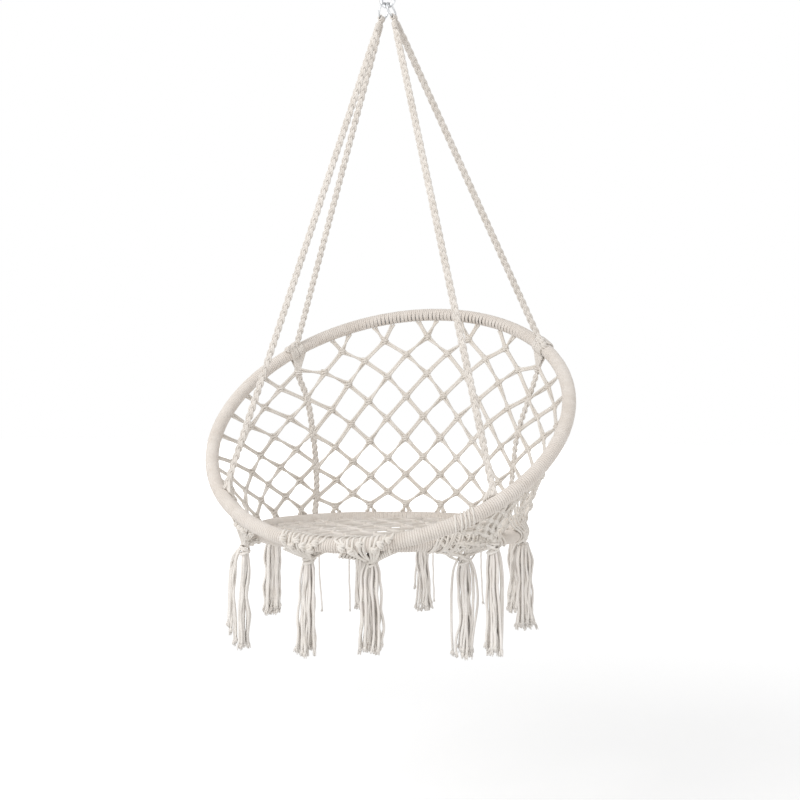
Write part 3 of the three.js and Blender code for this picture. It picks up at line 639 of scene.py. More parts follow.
def loose_strand(name, sway, seed):
    """A single cord that hangs from the seat hoop, with a small knot above and a frayed end."""
    low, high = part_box(name)
    top = vec((low.x + high.x) / 2, (low.y + high.y) / 2, high.z)
    fall = low.z + 0.001 - top[2]
    chance = random.Random(seed)
    points = []
    for share in np.linspace(0, 1, 16):
        drift = vec(chance.uniform(-1, 1), chance.uniform(-1, 1), 0) * 0.0007 * share
        points.append(top + sway * sin(share * 3.6) + drift + upward * fall * share)
    line = smooth_line(points, 0.004)
    cords = Cords()
    cords.add(line, strand_cord, sides=7)
    knot = line[1] - upward * 0.0015
    for sign in (1, -1):
        bend = vec(0, 0.003, sign * 0.001)
        cords.turn(knot + upward * sign * 0.0012, across * 0.003, bend, 10, binding_cord, 7)
    way = unit(line[-1] - line[-3])
    fray(cords, line[-1], way, strand_cord, chance, 0.006)
    piece = cords.make_on("seat", f"{name}_cord", tassel_painted_light_cotton, "cotton", name)
    free_cord([*line, line[-1] + way * 0.003, line[-1] + way * 0.006])


def fray(cords, end, way, radius, chance, length):
    """The loose yarns at a cut end."""
    side = unit(np.cross(way, across + 0.1))
    other = np.cross(way, side)
    for yarn in range(7):
        turned = yarn / 7 * tau + chance.uniform(-0.4, 0.4)
        out = cos(turned) * side + sin(turned) * other
        inner = 0.5 if yarn % 2 else 0.95
        base = end - way * 0.002 + out * radius * 0.4
        tip = end + way * length * chance.uniform(0.55, 1.0) + out * radius * inner * chance.uniform(1.0, 1.9)
        middle = mix(base, tip, 0.5) + out * radius * 0.3
        cords.add(np.array([base, middle, tip]), [radius * 0.55, radius * 0.5, radius * 0.3], sides=4)


place_camera()
for word, side in both_sides:
    rope(word, side, True)
    rope(word, side, False)

strand_sways = ((-0.0035, 0, 0), (-0.0025, 0.001, 0), (-0.002, 0.001, 0), (-0.005, -0.001, 0))
for number, sway in enumerate(strand_sways):
    loose_strand(f"loose_strand_{number + 1}", np.array(sway), 20 + number)


# -------------------- the wraps


def wound_hoop(name, point_at, radius, body, apart):
    """One cord wound round a hoop, turn beside turn, with small gaps on the inner side towards the back."""
    turns, steps = round(tau * radius / wrap_pitch), 18
    numbers, places = np.arange(turns + 2), np.arange(turns * steps + 1)
    middle_reach, half_thick = (tube_radius + wrap_radius) / 2, (wrap_radius - tube_radius) / 2
    half_wide = wrap_pitch * 0.515
    angles = pi / 2 + places / (turns * steps) * tau
    winding = places / steps * tau
    chance = np.random.default_rng(7)
    uneven = np.interp(winding, numbers * tau, chance.normal(0, 0.00016, turns + 2))
    centre = point_at(0.0, 0.0)
    one, two = unit(point_at(0.0) - centre), unit(point_at(pi / 2) - centre)
    axis = np.cross(one, two)
    outward = np.outer(np.cos(angles), one) + np.outer(np.sin(angles), two)
    forward = np.cross(axis, outward)
    spoke = outward * np.cos(winding)[:, None] + axis * np.sin(winding)[:, None]
    pushed = chance.uniform(0.2, 1, turns + 2) * np.where(numbers % 2, 1, -1) * apart * wrap_pitch
    shift = np.interp(winding, (numbers - 0.5) * tau, pushed)
    at_back = np.interp(np.degrees(angles) % 360, (48, 64, 106, 120), (0.12, 1, 1, 0.12))
    shift *= np.clip(-np.cos(winding), 0, 1) ** 2 * at_back
    line = centre + outward * radius + spoke * (middle_reach + uneven)[:, None] + forward * shift[:, None]
    rings = [line + cos(t) * half_thick * spoke + sin(t) * half_wide * forward for t in np.arange(8) / 8 * tau]
    cords = Cords()
    cords.skin(np.stack(rings, axis=1))
    cords.make_on(body, f"{name}_turns", wrap_cotton, "wrap", name)


wound_hoop("back_hoop_wrap", back_hoop_point, back_hoop_radius, "chair", 0.38)
wound_hoop("seat_hoop_wrap", seat_hoop_point, seat_hoop_radius, "seat", 0.1)


# -------------------- the nets


def back_panel(columns, rows_in, share_at, angle_at, braid_at, top_feet):
    """Knots and cords of one panel, as in the frame: rows count up from the seat hoop."""
    knots, cords, index = [], [], {}

    def foot(knot, place, kind):
        cords.append((knot, len(knots)))
        knots.append({"place": place, "foot": kind})

    def braid_foot(knot, side, column, row):
        share = share_at(column, row)
        foot(knot, back_place(braid_angle(side, share), share), "braid")

    for column in range(1, columns):
        for row in range(1, rows_in(column) + 1):
            if (row + column) % 2 == 0:
                share = share_at(column, row)
                angle = angle_at(column, share)
                rise = unit(back_hoop_point(angle) - seat_hoop_point(angle))
                index[column, row] = len(knots)
                knots.append({"place": back_place(angle, share), "normal": back_normal(angle), "rise": rise})
    for (column, row), knot in list(index.items()):
        for beside in (column - 1, column + 1):
            above = index.get((beside, row + 1))
            if above is not None:
                cords.append((knot, above))
            side = braid_at.get(beside)
            if side and row < rows_in(beside):
                braid_foot(knot, side, beside, row + 1)
            if side and row > 1:
                braid_foot(knot, side, beside, row - 1)
            if row == 1:
                share = share_at(column, row)
                angle = mix(angle_at(column, share), angle_at(beside, share), seat_foot_share)
                foot(knot, seat_hoop_point(angle), "seat")
        if row == rows_in(column):
            for angle in top_feet(column):
                foot(knot, back_hoop_point(angle), "back")
    return knots, cords


def rear_panel():
    rows, columns = len(rear_row_shares), len(rear_column_shares) - 1

    def angle_at(column, share):
        return mix(braid_angle("left", share), braid_angle("right", share), rear_column_shares[column])

    def top_feet(column):
        angle = angle_at(column, rear_row_shares[-1])
        return [angle - top_foot_angle, angle + top_foot_angle] if column % 2 == 0 else []

    def share_at(column, row):
        return rear_row_shares[row - 1]

    return back_panel(columns, lambda column: rows, share_at, angle_at, {0: "left", columns: "right"}, top_feet)


def side_panel(side):
    columns = len(side_column_shares) - 1
    front = front_rope_angle if side == "right" else pi - front_rope_angle

    def rows_in(column):
        return columns - column

    def share_at(column, row):
        top = side_top_share - side_top_fall_share * column
        return top * (row / rows_in(column)) ** side_row_spread_share

    def angle_at(column, share):
        return mix(braid_angle(side, share), front, side_column_shares[column])

    def top_feet(column):
        return [mix(braid_angles[side][0], front, side_hoop_shares[column])]

    return back_panel(columns, rows_in, share_at, angle_at, {0: side}, top_feet)


def foot_place(knot, foot):
    """Where a foot's cords go in between the turns of a wrap, or into a braid."""
    start, end = knot["place"], foot["place"]
    if foot["foot"] == "braid":
        return end
    return stop_at(start, end, from_seat_hoop if foot["foot"] == "seat" else from_back_hoop, sunk_reach)


def give_between(piece, start, end):
    """Puts a piece's place into its mesh."""
    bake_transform(piece)


def slack_above_seat(piece):
    """Hands a piece to give_between, with two places just above the seat hoop."""
    give_between(piece, seat_centre + upward * net_slack_top, seat_centre + upward * net_slack_bottom)


def tie_net(name, knots, cords, seed):
    """Twisted pairs between knots, from one hoop to the other."""
    chance = random.Random(seed)
    strings = Cords()
    for a, b in cords:
        start, end = knots[a], knots[b]
        normal = start["normal"] + end.get("normal", start["normal"])
        stop = foot_place(start, end) if "foot" in end else end["place"]
        turn, sag = chance.choice((0, 0, 1, -1)), chance.uniform(-0.0008, 0.0012)
        twisted_pair(strings, start["place"], stop, normal, turn, sag)
    for knot in knots:
        if "foot" not in knot:
            tied_knot(strings, knot["place"], knot["normal"], knot["rise"], chance.uniform(0.92, 1.1))
    piece = strings.make(f"{name}_cords", net_cotton)
    slack_above_seat(piece)
    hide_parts(name)


def seat_net():
    """Diamonds of twisted cords across the seat hoop."""
    knots, cords, index = [], [], {}
    reach = seat_hoop_radius - wrap_radius - seat_net_edge
    most = ceil(seat_hoop_radius / min(seat_net_row, seat_net_column / 2))

    def place_at(column, row):
        return vec(column * seat_net_column / 2, row * seat_net_row, 0)

    for row in range(-most, most + 1):
        for column in range(-most, most + 1):
            place = place_at(column, row)
            if (row + column) % 2 == 0 and norm(place) <= reach:
                index[column, row] = len(knots)
                knots.append({"place": place})
    for (column, row), knot in list(index.items()):
        for over, along in ((1, 1), (-1, 1), (1, -1), (-1, -1)):
            other = index.get((column + over, row + along))
            if other is None:
                edge = unit(place_at(column + over, row + along)) * seat_hoop_radius
                cords.append((knot, len(knots)))
                knots.append({"place": edge, "foot": "seat"})
            elif along > 0:
                cords.append((knot, other))
    for _ in range(easing_rounds):
        sums = [[np.zeros(3), 0.0] for _ in knots]
        for a, b in cords:
            pull = edge_pull if "foot" in knots[b] else 1.0
            sums[a][0] += knots[b]["place"] * pull
            sums[b][0] += knots[a]["place"] * pull
            sums[a][1] += pull
            sums[b][1] += pull
        for knot, (total, weight) in zip(knots, sums):
            if "foot" not in knot:
                knot["place"] = total / weight
    chance = random.Random(5)
    strings = Cords()
    for knot in knots:
        knot["place"] = knot["place"] + seat_centre
    for a, b in cords:
        start, end = knots[a]["place"], knots[b]["place"]
        if "foot" in knots[b]:
            end = stop_at(start, end, from_seat_hoop, sunk_reach)
        twisted_pair(strings, start, end, upward, chance.choice((0, 1, -1)), radius=seat_cord)
    for knot in knots:
        if "foot" not in knot:
            tied_knot(strings, knot["place"], upward, vec(0, 1, 0), chance.uniform(0.7, 0.8))
    strings.make_on("seat", "seat_net_cords", seat_shaded_cotton, "net", "seat_net")


tie_net("back_net", *rear_panel(), 1)
tie_net("side_net_left", *side_panel("left"), 2)
tie_net("side_net_right", *side_panel("right"), 3)
seat_net()


# -------------------- braids and gathers


def rear_braid(side):
    """The plait that goes on below a rear rope, through the net to the seat hoop."""
    course = [back_place(angle, 1 - down) for down, angle in zip(braid_shares, braid_angles[side])]
    course[0] = stop_at(course[1], course[0], from_back_hoop, wrap_radius + 0.002)
    course[-1] = stop_at(course[-2], course[-1], from_seat_hoop, sunk_reach)
    cords = Cords()
    flat_side = -back_normal(braid_angles[side][3])
    plait(cords, smooth_line(course, plait_step), flat_side, 0.0042, 0.0024, 0.046, lattice_cord, 0.0017)
    piece = cords.make(f"rear_braid_{side}_plait", rope_cotton)
    slack_above_seat(piece)
    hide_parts(f"rear_braid_{side}")


def gather_on_hoop(cords, angle, half_width, top, bottom, count, chance, ways=(1, -1)):
    """Cords that spread from one point over the back hoop, round one side or both, and draw together below."""
    for number in range(count):
        share = number / (count - 1) * 2 - 1
        at = angle + share * half_width / back_hoop_radius + chance.uniform(-0.001, 0.001) / back_hoop_radius
        reach = wrap_radius + rope_cord * chance.uniform(0.9, 1.15)
        middle = round_hoop(back_hoop_point, back_hoop_radius, at, reach, top, bottom, ways[number % len(ways)])
        cords.add(smooth_line([top, *middle, bottom]), rope_cord)


def rear_knot(word, side):
    """Many cords over the back hoop below a rear rope, with small knots towards the sitter."""
    angle = braid_angles[word][0]
    hoop = back_hoop_point(angle)
    top = hoop + unit(ring_frame(side)[2] - hoop) * 0.03
    bottom = back_place(braid_angle(word, rear_gather_share), rear_gather_share)
    cords = Cords()
    gather_on_hoop(cords, angle, 0.0165, top, bottom, 22, random.Random(31 if side > 0 else 32))
    to_sitter = unit(vec(0, -1, 0.25))
    along = unit(back_hoop_point(angle + 0.02) - hoop)
    for aside, lift in ((-0.011, 0.002), (-0.003, 0.007), (0.005, 0.0), (0.012, 0.005), (-0.004, -0.006)):
        place = hoop + to_sitter * (wrap_radius + 0.003) + along * aside + upward * lift
        tied_knot(cords, place, to_sitter, upward, 0.8)
    way = unit(hoop - bottom)
    beside = unit(np.cross(way, back_normal(angle)))
    for lift, size in ((0.0, 0.0078), (0.0045, 0.0074)):
        bend = np.cross(way, beside) * size * 0.8
        cords.turn(bottom + way * lift, beside * size + way * 0.0015, bend, 12, rope_cord)
    cords.make_on("chair", f"rear_gather_{word}", rope_cotton, "rope", f"rear_knot_{word}")


def on_hoop(point, towards, reach=sunk_reach):
    """The place on a hoop's wrap, at one of its points, that faces something."""
    return point + unit(towards - point) * reach


def corner_gather(word, side):
    """Below a front rope: a triangle of knots from both hoops draws together over a tassel."""

    def back_at(degrees):
        return back_hoop_point(mirrored(radians(degrees), side))

    def seat_at(degrees):
        return seat_hoop_point(mirrored(radians(degrees), side))

    ball = seat_hoop_point(corner_knot_angles[word], seat_hoop_radius + corner_knot_reach[word], corner_knot_lift)
    tip = ball + corner_drop[word]
    hoop = back_hoop_point(mirrored(front_rope_angle, side))
    top = hoop + unit(ring_frame(side)[2] - hoop) * 0.04
    foot = mix(hoop, back_centre, 0.045) - back_lift * 0.012
    half_width, spans = (0.014, (-30, -36, -42, -48, -54, -60)) if side > 0 else (0.008, (-50, -54.5, -59, -63.5))
    facing = unit(ball - seat_centre)
    chance = random.Random(41 if side > 0 else 42)
    cords = Cords()
    gather_on_hoop(cords, mirrored(radians(-42.8), side), half_width, top, foot, 6, chance, (1,))
    for shift in (0.0, 0.006):
        end = tip - facing * shift
        lattice(cords, [on_hoop(back_at(degrees), end) for degrees in spans], end, facing, chance)
    if side < 0:
        to_sitter = [0, -1, 0]
        fan = [on_hoop(back_at(degrees), tip + [0, -0.05, 0.01]) for degrees in (-50, -53, -56, -59)]
        for foot in fan:
            twisted_pair(cords, foot, tip + [0, -0.005, 0.004], to_sitter, radius=0.0023)
        for a, b in zip(fan, fan[1:]):
            tied_knot(cords, mix(mix(a, b, 0.5), tip, 0.22) - [0, 0.002, 0], to_sitter, upward, 0.8)
    for lift in (-0.004, 0.002):
        size, lean = 0.0085, chance.uniform(-0.004, 0.004)
        bend = vec(0, size, -lean)
        cords.turn(tip + upward * lift, across * size + upward * lean, bend, 14, rope_cord)
    cords.make_on("chair", f"corner_gather_{word}", lashing_cotton, "cotton", f"corner_knot_{word}")
    hung = Cords()
    lattice(hung, [on_hoop(seat_at(degrees), tip) for degrees in (-34, -40, -46, -52)], tip, facing, chance)
    low = hung.make(f"corner_seat_cords_{word}", lashing_cotton)
    give_between(low, tip, seat_at(-43))
    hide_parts(f"corner_knot_{word}")


def right_corner_web():
    """The long cords outside the right corner, from the back hoop down to the seat hoop."""
    cords = Cords()
    chance = random.Random(46)
    for share in np.arange(6) / 5:
        top, low = back_hoop_point(radians(mix(-29.5, -40, share))), seat_hoop_point(radians(mix(9, -6, share)))
        out = unit(low - seat_centre)
        line = [
            top - back_lift * wrap_radius + out * 0.002,
            mix(top, low, 0.3) - out * 0.002,
            mix(top, low, 0.7) + out * 0.003 + chance.uniform(-0.002, 0.002) * upward,
            low + out * (wrap_radius + 0.002) + upward * 0.004,
            low + out * (wrap_radius * 0.6) - upward * (wrap_radius + 0.001),
        ]
        cords.add(smooth_line(line, 0.004), rope_cord)
    piece = cords.make("right_corner_web", lashing_cotton)
    give_between(piece, back_hoop_point(radians(-30)), seat_hoop_point(radians(8)))


def hoop_binding():
    """Five leaning turns of cord round the back hoop beside the right corner."""
    cords = Cords()
    reach = wrap_radius + rope_cord * 0.4
    for degrees in (304.4, 306.2, 307.4, 308.5, 309.8):
        middle = back_hoop_point(radians(degrees))
        outward = unit(back_hoop_point(radians(degrees), back_hoop_radius + 0.01) - middle)
        lean = np.cross(outward, back_lift) * 0.005
        cords.turn(middle, outward * reach + lean, back_lift * reach - lean * 0.6, 20, rope_cord * 0.9)
    cords.make_on("chair", "hoop_binding", lashing_cotton, "cotton")


for word, side in both_sides:
    rear_braid(word)
    rear_knot(word, side)
    corner_gather(word, side)
right_corner_web()
hoop_binding()


# -------------------- the tassels


def tassel(number, cords_in_it, hem, waist, lean, shift, locks_in_it, strays):
    """A bundle of loose cords below a knotted head, in a few locks, each cord with a frayed end."""
    name = f"tassel_{number:02d}"
    joint = next(joint for joint in frame["joints"] if joint["name"] == f"{name}_sway")
    head = np.array(joint["pos_m"]) + [shift[0], 0, shift[1]]
    length = head[2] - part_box(name)[0].z
    chance = random.Random(60 + number)
    cords = Cords()
    locks = []
    for i in range(locks_in_it):
        bearing = i / locks_in_it * tau + chance.uniform(-0.5, 0.5)
        locks.append((bearing, chance.uniform(0.34, 0.5), chance.uniform(-0.006, 0.006), chance.uniform(0, 6)))

    def hang(points):
        line = smooth_line(points, 0.007)
        cords.add(line, tassel_cord)
        fray(cords, line[-1], unit(line[-1] - line[-3]), tassel_cord, chance, 0.012)

    for i in range(cords_in_it):
        bearing, off, swing, start = locks[i % locks_in_it]
        turned = i * golden_angle
        spread = sqrt((i // locks_in_it + 0.5) / ceil(cords_in_it / locks_in_it)) * 0.58
        lock = vec(cos(bearing), sin(bearing), 0)
        own = vec(cos(turned), sin(turned), 0)
        tangent = np.array([-lock[1], lock[0], 0])
        long = length * chance.uniform(0.9, 0.985) - 0.006
        wave, beat = chance.uniform(0.0008, 0.003), chance.uniform(0, tau)
        points = []
        for share in (0, 0.05, 0.12, 0.22, 0.34, 0.46, 0.58, 0.7, 0.82, 0.92, 1.0):
            reach = mix(waist, hem, max(0, share - 0.5) / 0.5) * (0.5 + 0.5 * min(1, share / 0.16))
            place = head + lock * off * reach + own * spread * reach
            place = place + tangent * swing * sin(share * 7 + start) * min(1, share * 4)
            place = place + own * wave * sin(share * 15 + beat) * min(1, share * 3)
            points.append(place + across * lean * share**1.3 - upward * long * share)
        hang(points)
    for root, belly, end, share_long in strays:
        ways = (root, mix(root, belly, 0.7), belly, belly, mix(belly, end, 0.5), end)
        out = [vec(way, chance.uniform(-0.004, 0.006), 0) for way in ways]
        falls = (-0.05, 0.1, 0.32, 0.5, 0.75, 1)
        hang([head + offset - upward * length * share_long * fall for offset, fall in zip(out, falls)])
    for lift, size, tip in ((0.005, 0.0072, 0.003), (0.0, 0.0088, -0.004), (-0.006, 0.0092, 0.0025)):
        bend = vec(0, size, tip)
        cords.turn(head + upward * lift, across * size + upward * tip, bend, 14, tassel_cord * 1.1)
    cords.make_on(f"{name}_hanging", f"{name}_cords", tassel_painted_light_cotton, "cotton", name)
    return head


# Stray cords: how far out they are at the root, the belly and the end, and their share of the tassel's length
corner_strays = (
    (-0.008, -0.034, -0.036, 0.74),
    (-0.01, -0.03, -0.034, 0.82),
    (-0.006, -0.028, -0.03, 0.8),
    (-0.008, -0.026, -0.024, 0.93),
    (-0.005, -0.024, -0.02, 0.9),
)
band_strays = ((-0.006, -0.026, -0.024, 0.94), (0.006, 0.025, 0.013, 0.95), (0.005, 0.018, 0.012, 0.92))
# Tassels: cords, hem, waist, lean, the head's shift across and up, locks and stray cords
tassels = {
    1: (14, 0.019, 0.014, -0.006, (0.015, -0.022), 3, corner_strays),
    2: (20, 0.023, 0.017, -0.003, (0, 0), 3, ((-0.006, -0.012, -0.022, 0.93),)),
    3: (24, 0.023, 0.021, 0.001, (0, 0), 3, ((-0.007, -0.02, -0.022, 0.95),)),
    4: (18, 0.019, 0.016, 0.001, (0, -0.008), 3, band_strays),
    5: (20, 0.022, 0.016, 0.002, (0, 0), 3, ((0.006, 0.019, 0.018, 0.93), (0.005, 0.016, 0.012, 0.96))),
    6: (30, 0.026, 0.02, 0.002, (0.006, 0), 3, ((-0.007, -0.026, -0.03, 0.7), (-0.006, -0.022, -0.027, 0.6))),
    7: (18, 0.017, 0.013, 0, (0.011, 0), 3, ()),
    8: (18, 0.022, 0.015, 0.003, (0, 0), 3, ((-0.005, -0.013, -0.021, 0.7), (-0.004, -0.01, -0.018, 0.93))),
    9: (16, 0.019, 0.016, 0, (0, 0), 3, ()),
    10: (26, 0.02, 0.018, -0.003, (0, 0), 2, ()),
}
heads = {number: tassel(number, *facts) for number, facts in tassels.items()}


# -------------------- lashings and bands


def back_front(x):
    """The place on the front half of the back hoop that is so far across."""
    return back_hoop_point(-acos(x / back_hoop_radius))


def seat_front(x):
    return seat_hoop_point(-acos(x / seat_hoop_radius))


def hitched_row(cords, start, end, count):
    """Half hitches side by side over a leading cord."""
    way = unit(end - start)
    beside = unit(np.cross(way, [0, 1, 0])) * 0.0062 + way * 0.002
    cords.add(smooth_line([start, mix(start, end, 0.5), end], 0.004), tassel_cord)
    for share in np.linspace(0.04, 0.9, count):
        cords.turn(mix(start, end, share), beside, vec(0, 0.005, 0), 9, tassel_cord)


def front_lashing(word, seed, gather, loops, rows, knots):
    """Cords over both hoops at the front, drawn together at a tassel's head."""
    cords = Cords()
    chance = random.Random(seed)
    reach, sunk = wrap_radius + tassel_cord * 0.4, wrap_radius - tassel_cord * 0.15
    for number, (x, draw) in enumerate(loops):
        aside = (number / (len(loops) - 1) - 0.5) * 0.014
        beside = vec(aside, chance.uniform(-0.003, 0.002), chance.uniform(-0.003, 0.004))
        seat, back = seat_front(x), back_front(x)
        low_back, low_seat = back_front(mix(x, gather[0], draw)), seat_front(mix(x, gather[0], 0.3))
        points = [
            gather + beside,
            mix(low_back + [0, -0.75 * reach, -0.85 * reach], gather + beside, 0.25),
            low_back + [0, -0.92 * reach, -0.45 * reach],
            mix(low_back, back, 0.55) + [0, -reach, 0.1 * reach],
            back + [0, -0.72 * sunk, 0.72 * sunk],
            back + [0, 0, sunk],
            seat + [0, 0, sunk],
            seat + [0, 0.72 * sunk, 0.72 * sunk],
            seat + [0, reach, 0],
            mix(seat, low_seat, 0.5) + [0, 0.6 * reach, -0.8 * reach],
            low_seat + [0, -0.1 * reach, -1.05 * reach],
            gather + beside * 0.6 + [0, 0.004, 0],
        ]
        cords.add(smooth_line(points), tassel_cord * 1.1)
    for x, shift, count in rows:
        start = back_front(x) + [0, -0.35 * reach, -0.95 * reach]
        hitched_row(cords, start, gather + [shift, -0.003, 0.008], count)
    for x, bearing, size in knots:
        outward = vec(0, -cos(radians(bearing)), sin(radians(bearing)))
        rise = unit(np.array([chance.uniform(-0.5, 0.5), outward[2], -outward[1]]))
        place = back_front(x) + outward * (wrap_radius + 0.0028)
        tied_knot(cords, place, outward, rise, size)
    for lift, size, lean in ((0.012, 0.013, 0.006), (0.006, 0.0125, -0.005), (0.0, 0.0105, 0.002)):
        bend = vec(0, size * 0.8, lean * 0.6)
        cords.turn(gather + upward * lift, across * size + upward * lean, bend, 14, tassel_cord * 1.15)
    piece = cords.make(f"front_lashing_{word}_cords", lashing_cotton)
    give_between(piece, back_hoop_point(-pi / 2), seat_hoop_point(-pi / 2))
    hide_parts(f"front_lashing_{word}")


def crossed_band(name, first, last, count, gather):
    """Cords that cross in diamonds on the outside of the seat hoop and draw together at the tassel below."""
    chance = random.Random(83)
    cords = Cords()
    under = upward * sunk_reach
    for number in range(count):
        middle = radians(first) + (radians(last) - radians(first)) * ((number + 0.5) / count)
        for way in (1, -1):
            reach = wrap_radius + tassel_cord * (0.4 if way > 0 else 0.9)
            lean = radians(chance.uniform(6, 10))
            begin = middle + radians(chance.uniform(-1, 1))
            points = []
            for share in np.linspace(0, 1, 7):
                bearing, angle = radians(mix(135, -70, share)), begin + way * lean * (share - 0.5)
                outward = unit(seat_hoop_point(angle) - seat_centre)
                points.append(seat_hoop_point(angle) + reach * (cos(bearing) * outward + sin(bearing) * upward))
            beside = vec(chance.uniform(-1, 1), chance.uniform(-1, 1), 0) * 0.006
            if norm(gather - points[-1]) < 0.06:
                points.append(gather + beside + upward * 0.004)
            else:
                points.append(seat_hoop_point(begin + way * lean * 0.6) - under)
            cords.add(smooth_line(points), tassel_cord)
    bearing = atan2(gather[1] - seat_centre[1], gather[0] - seat_centre[0])
    for degrees, shift in ((-10, -0.012), (-8.5, -0.009), (7, 0.01)):
        start, end = seat_hoop_point(bearing + radians(degrees)) - under, gather + [shift, 0, -0.004]
        cords.add(smooth_line([start, mix(start, end, 0.5) - upward * 0.003, end], 0.004), 0.0016)
    cords.make_on("seat", name, lashing_cotton, "cotton")


# Loops over the hoops: place across, and how far they are drawn to the gather
left_loops = (
    (-0.108, 0.1), (-0.101, 0.06), (-0.091, 0.02), (-0.084, 0.04), (-0.074, 0.06),
    (-0.064, 0.08), (-0.055, 0.12), (-0.046, 0.3), (-0.034, 0.62), (-0.02, 0.66),
)
right_loops = (
    (0.004, 0.7), (0.014, 0.55), (0.028, 0.12), (0.038, 0.1), (0.052, 0.05),
    (0.06, 0.04), (0.073, 0.06), (0.083, 0.16), (0.098, 0.3), (0.111, 0.42),
)
# Rows of hitches: place across, shift at the gather and count
left_rows = ((-0.103, -0.01, 9), (-0.082, -0.006, 6))
right_rows = ((0.012, -0.012, 7), (0.107, 0.012, 7))
# Knots on the front: place across, bearing above the level in degrees, and size
left_knots = (
    (-0.105, 8, 0.85), (-0.087, -28, 0.8), (-0.075, 14, 0.8),
    (-0.062, -12, 0.85), (-0.046, -34, 0.8), (-0.035, 16, 0.75),
)
right_knots = (
    (0.018, -6, 0.85), (0.036, -32, 0.8), (0.052, 12, 0.75),
    (0.08, -30, 0.85), (0.092, 2, 0.85), (0.106, 20, 0.75),
)
front_lashing("left", 51, heads[2], left_loops, left_rows, left_knots)
front_lashing("right", 52, heads[3], right_loops, right_rows, right_knots)
crossed_band("seat_hoop_band_front", -54, -22, 17, heads[4])
crossed_band("seat_hoop_band_side", -2, 19, 10, heads[6])


# -------------------- the steel

carabiner_middle = -0.032
half_straight = 0.022
top_bow = Vector((0, 0, carabiner_middle + half_straight))
bottom_bow = Vector((0, 0, carabiner_middle - half_straight))
gate_long = 0.031
gate_radius = 0.0034
gate_bottom = carabiner_middle - gate_long / 2
gate_hinge = Vector((bow_radius, 0, gate_bottom + 0.0035))
gate_slack = 0.0006
slot_deep = 0.007
slot_below = 0.0015
tongue_thick = 0.0026
pin_radius = 0.001


def start_piece():
    bpy.ops.object.select_all(action="DESELECT")


def settle():
    bpy.ops.object.transform_apply(location=True, rotation=True, scale=True)


def edit(choice, kind=None):
    bpy.ops.object.mode_set(mode="EDIT")
    if kind:
        bpy.ops.mesh.select_mode(type=kind)
    bpy.ops.mesh.select_all(action=choice)


def leave_edit():
    bpy.ops.object.mode_set(mode="OBJECT")


def pick_faces(test):
    """Selects the faces of the piece in hand whose middles pass a test."""
    bpy.ops.mesh.select_all(action="DESELECT")
    mesh = bpy.context.object.data
    for face in bmesh.from_edit_mesh(mesh).faces:
        if test(face.calc_center_median()):
            face.select_set(True)
    bmesh.update_edit_mesh(mesh)


def pull_out(up):
    bpy.ops.mesh.extrude_region_move(TRANSFORM_OT_translate={"value": (0, 0, up)})


def bend_round(centre):
    bpy.ops.mesh.spin(steps=28, angle=-pi, center=centre, axis=(0, 1, 0))


def round_off(offset, segments):
    bpy.ops.mesh.bevel(offset=offset, segments=segments, affect="EDGES")


def block(place, size):
    bpy.ops.mesh.primitive_cube_add(size=1, location=place, scale=size)
    return bpy.context.object


def forged(name, body, node):
    """Closes the piece in hand, puts its place in its mesh and gives it the steel's finish."""
    piece = bpy.context.object
    edit("SELECT")
    bpy.ops.mesh.remove_doubles(threshold=0.00001)
    bpy.ops.mesh.normals_make_consistent(inside=False)
    leave_edit()
    settle()
    bpy.ops.object.shade_smooth_by_angle(angle=forged_smooth)
    piece.name = name
    piece.data.materials.append(galvanised_steel)
    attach(piece, body)
    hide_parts(node)


def steel_ring(word, side):
    """A ring of round wire with the small bead of its weld."""
    pull, level, centre = ring_frame(side)
    turned = Matrix((level, pull, np.cross(level, pull))).transposed().to_euler()
    start_piece()
    bpy.ops.mesh.primitive_torus_add(
        location=centre,
        rotation=turned,
        major_radius=ring_radius,
        minor_radius=ring_wire,
        major_segments=96,
        minor_segments=18,
    )
    edit("DESELECT", "FACE")
    for half_arc, proud in ((0.16, 0.00012), (0.1, 0.0001)):
        pick_faces(lambda middle: abs(atan2(middle.y, middle.x)) < half_arc)
        bpy.ops.transform.shrink_fatten(value=proud)
    forged(f"welded_ring_{word}", "links", f"steel_ring_{word}")


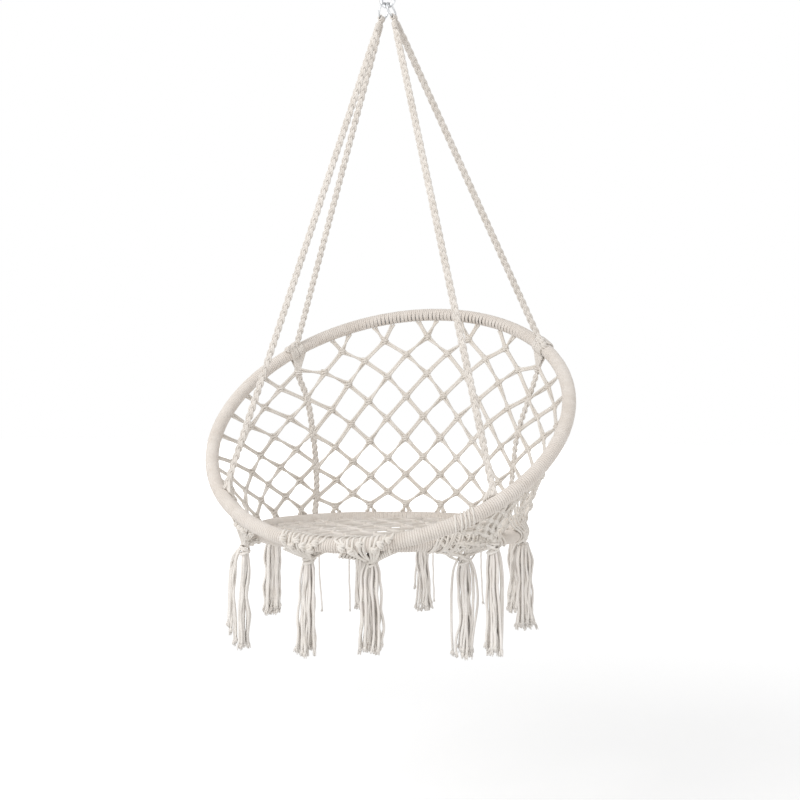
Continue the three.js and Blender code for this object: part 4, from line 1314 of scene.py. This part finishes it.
def carabiner_rod():
    """A round rod bent round two bows, with a tongue for the gate below and a nose for it above."""
    start, nose = gate_bottom - slot_below, carabiner_middle + gate_long / 2 + gate_slack
    start_piece()
    bpy.ops.mesh.primitive_circle_add(vertices=24, radius=bow_wire, fill_type="NGON", location=(bow_radius, 0, start))
    settle()
    rod = bpy.context.object
    edit("SELECT")
    pull_out(bottom_bow.z - start)
    bend_round(bottom_bow)
    for _ in range(4):
        pull_out((top_bow.z - bottom_bow.z) / 4)
    bend_round(top_bow)
    pull_out(nose - top_bow.z)
    bpy.ops.mesh.select_mode(type="FACE")
    for end in (nose, start):
        pick_faces(lambda middle: abs(middle.z - end) < 1e-5 and abs(middle.x - bow_radius) < 1e-5)
        round_off(0.0009, 3)
    leave_edit()
    start_piece()
    high, long = gate_bottom + slot_deep, 0.0155
    tongue = block((bow_radius, 0, high - long / 2), (2 * gate_radius - gate_slack, tongue_thick, long))
    settle()
    edit("DESELECT", "EDGE")
    for edge in bmesh.from_edit_mesh(tongue.data).edges:
        ends = [corner.co for corner in edge.verts]
        edge.select_set(all(abs(corner.z - high) < 1e-5 for corner in ends) and abs(ends[0].x - ends[1].x) < 1e-5)
    bmesh.update_edit_mesh(tongue.data)
    round_off(0.0026, 6)
    leave_edit()
    rod.select_set(True)
    bpy.context.view_layer.objects.active = rod
    bpy.ops.object.join()
    forged("bent_carabiner_rod", "hanger", "carabiner_body")


def spring_gate():
    """The gate: a round bar with a slot for the tongue and a rounded tip."""
    start_piece()
    slot = block((bow_radius, 0, gate_bottom), (0.012, tongue_thick + gate_slack, 2 * (slot_deep + slot_below)))
    middle = carabiner_middle + gate_slack / 2
    bpy.ops.mesh.primitive_cylinder_add(
        vertices=28, radius=gate_radius, depth=gate_long - gate_slack, location=(bow_radius, 0, middle)
    )
    gate = bpy.context.object
    sawn = gate.modifiers.new("slot", "BOOLEAN")
    sawn.operation = "DIFFERENCE"
    sawn.object = slot
    bpy.ops.object.modifier_apply(modifier="slot")
    eased = gate.modifiers.new("eased_edges", "BEVEL")
    eased.width = 0.00045
    eased.segments = 3
    eased.limit_method = "ANGLE"
    bpy.ops.object.modifier_apply(modifier="eased_edges")
    bpy.data.objects.remove(slot)
    forged("slotted_gate", "gate", "carabiner_gate")


def riveted_pin():
    """The gate's pin, with a low head at each end."""
    start_piece()
    bpy.ops.mesh.primitive_cylinder_add(
        vertices=24, radius=pin_radius, depth=2 * gate_radius, location=gate_hinge, rotation=(pi / 2, 0, 0)
    )
    settle()
    edit("DESELECT", "FACE")
    pick_faces(lambda middle: abs(abs(middle.y) - gate_radius) < 1e-6)
    bpy.ops.transform.resize(value=(1.7, 1, 1.7), center_override=gate_hinge)
    bpy.ops.mesh.extrude_faces_move(TRANSFORM_OT_shrink_fatten={"value": 0.0005})
    round_off(0.0003, 3)
    forged("riveted_pin", "hanger", "gate_pin")


carabiner_rod()
spring_gate()
riveted_pin()
for word, side in both_sides:
    steel_ring(word, side)
for name in ("back_hoop", "seat_hoop"):
    materials = frame["nodes"][name].data.materials
    materials.clear()
    materials.append(tube_steel)


# -------------------- the studio

background_light()
studio_floor(cad_box[0].z - floor_drop)
soft_lamp("key_light", (-1.7, -2.7, 1.3), (0, 0, -0.95), 2.4, 74)
soft_lamp("fill_light", (2.6, -1.6, -0.6), (0, 0, -1.2), 2.0, 9)
bpy.context.scene.view_settings.view_transform = "Standard"
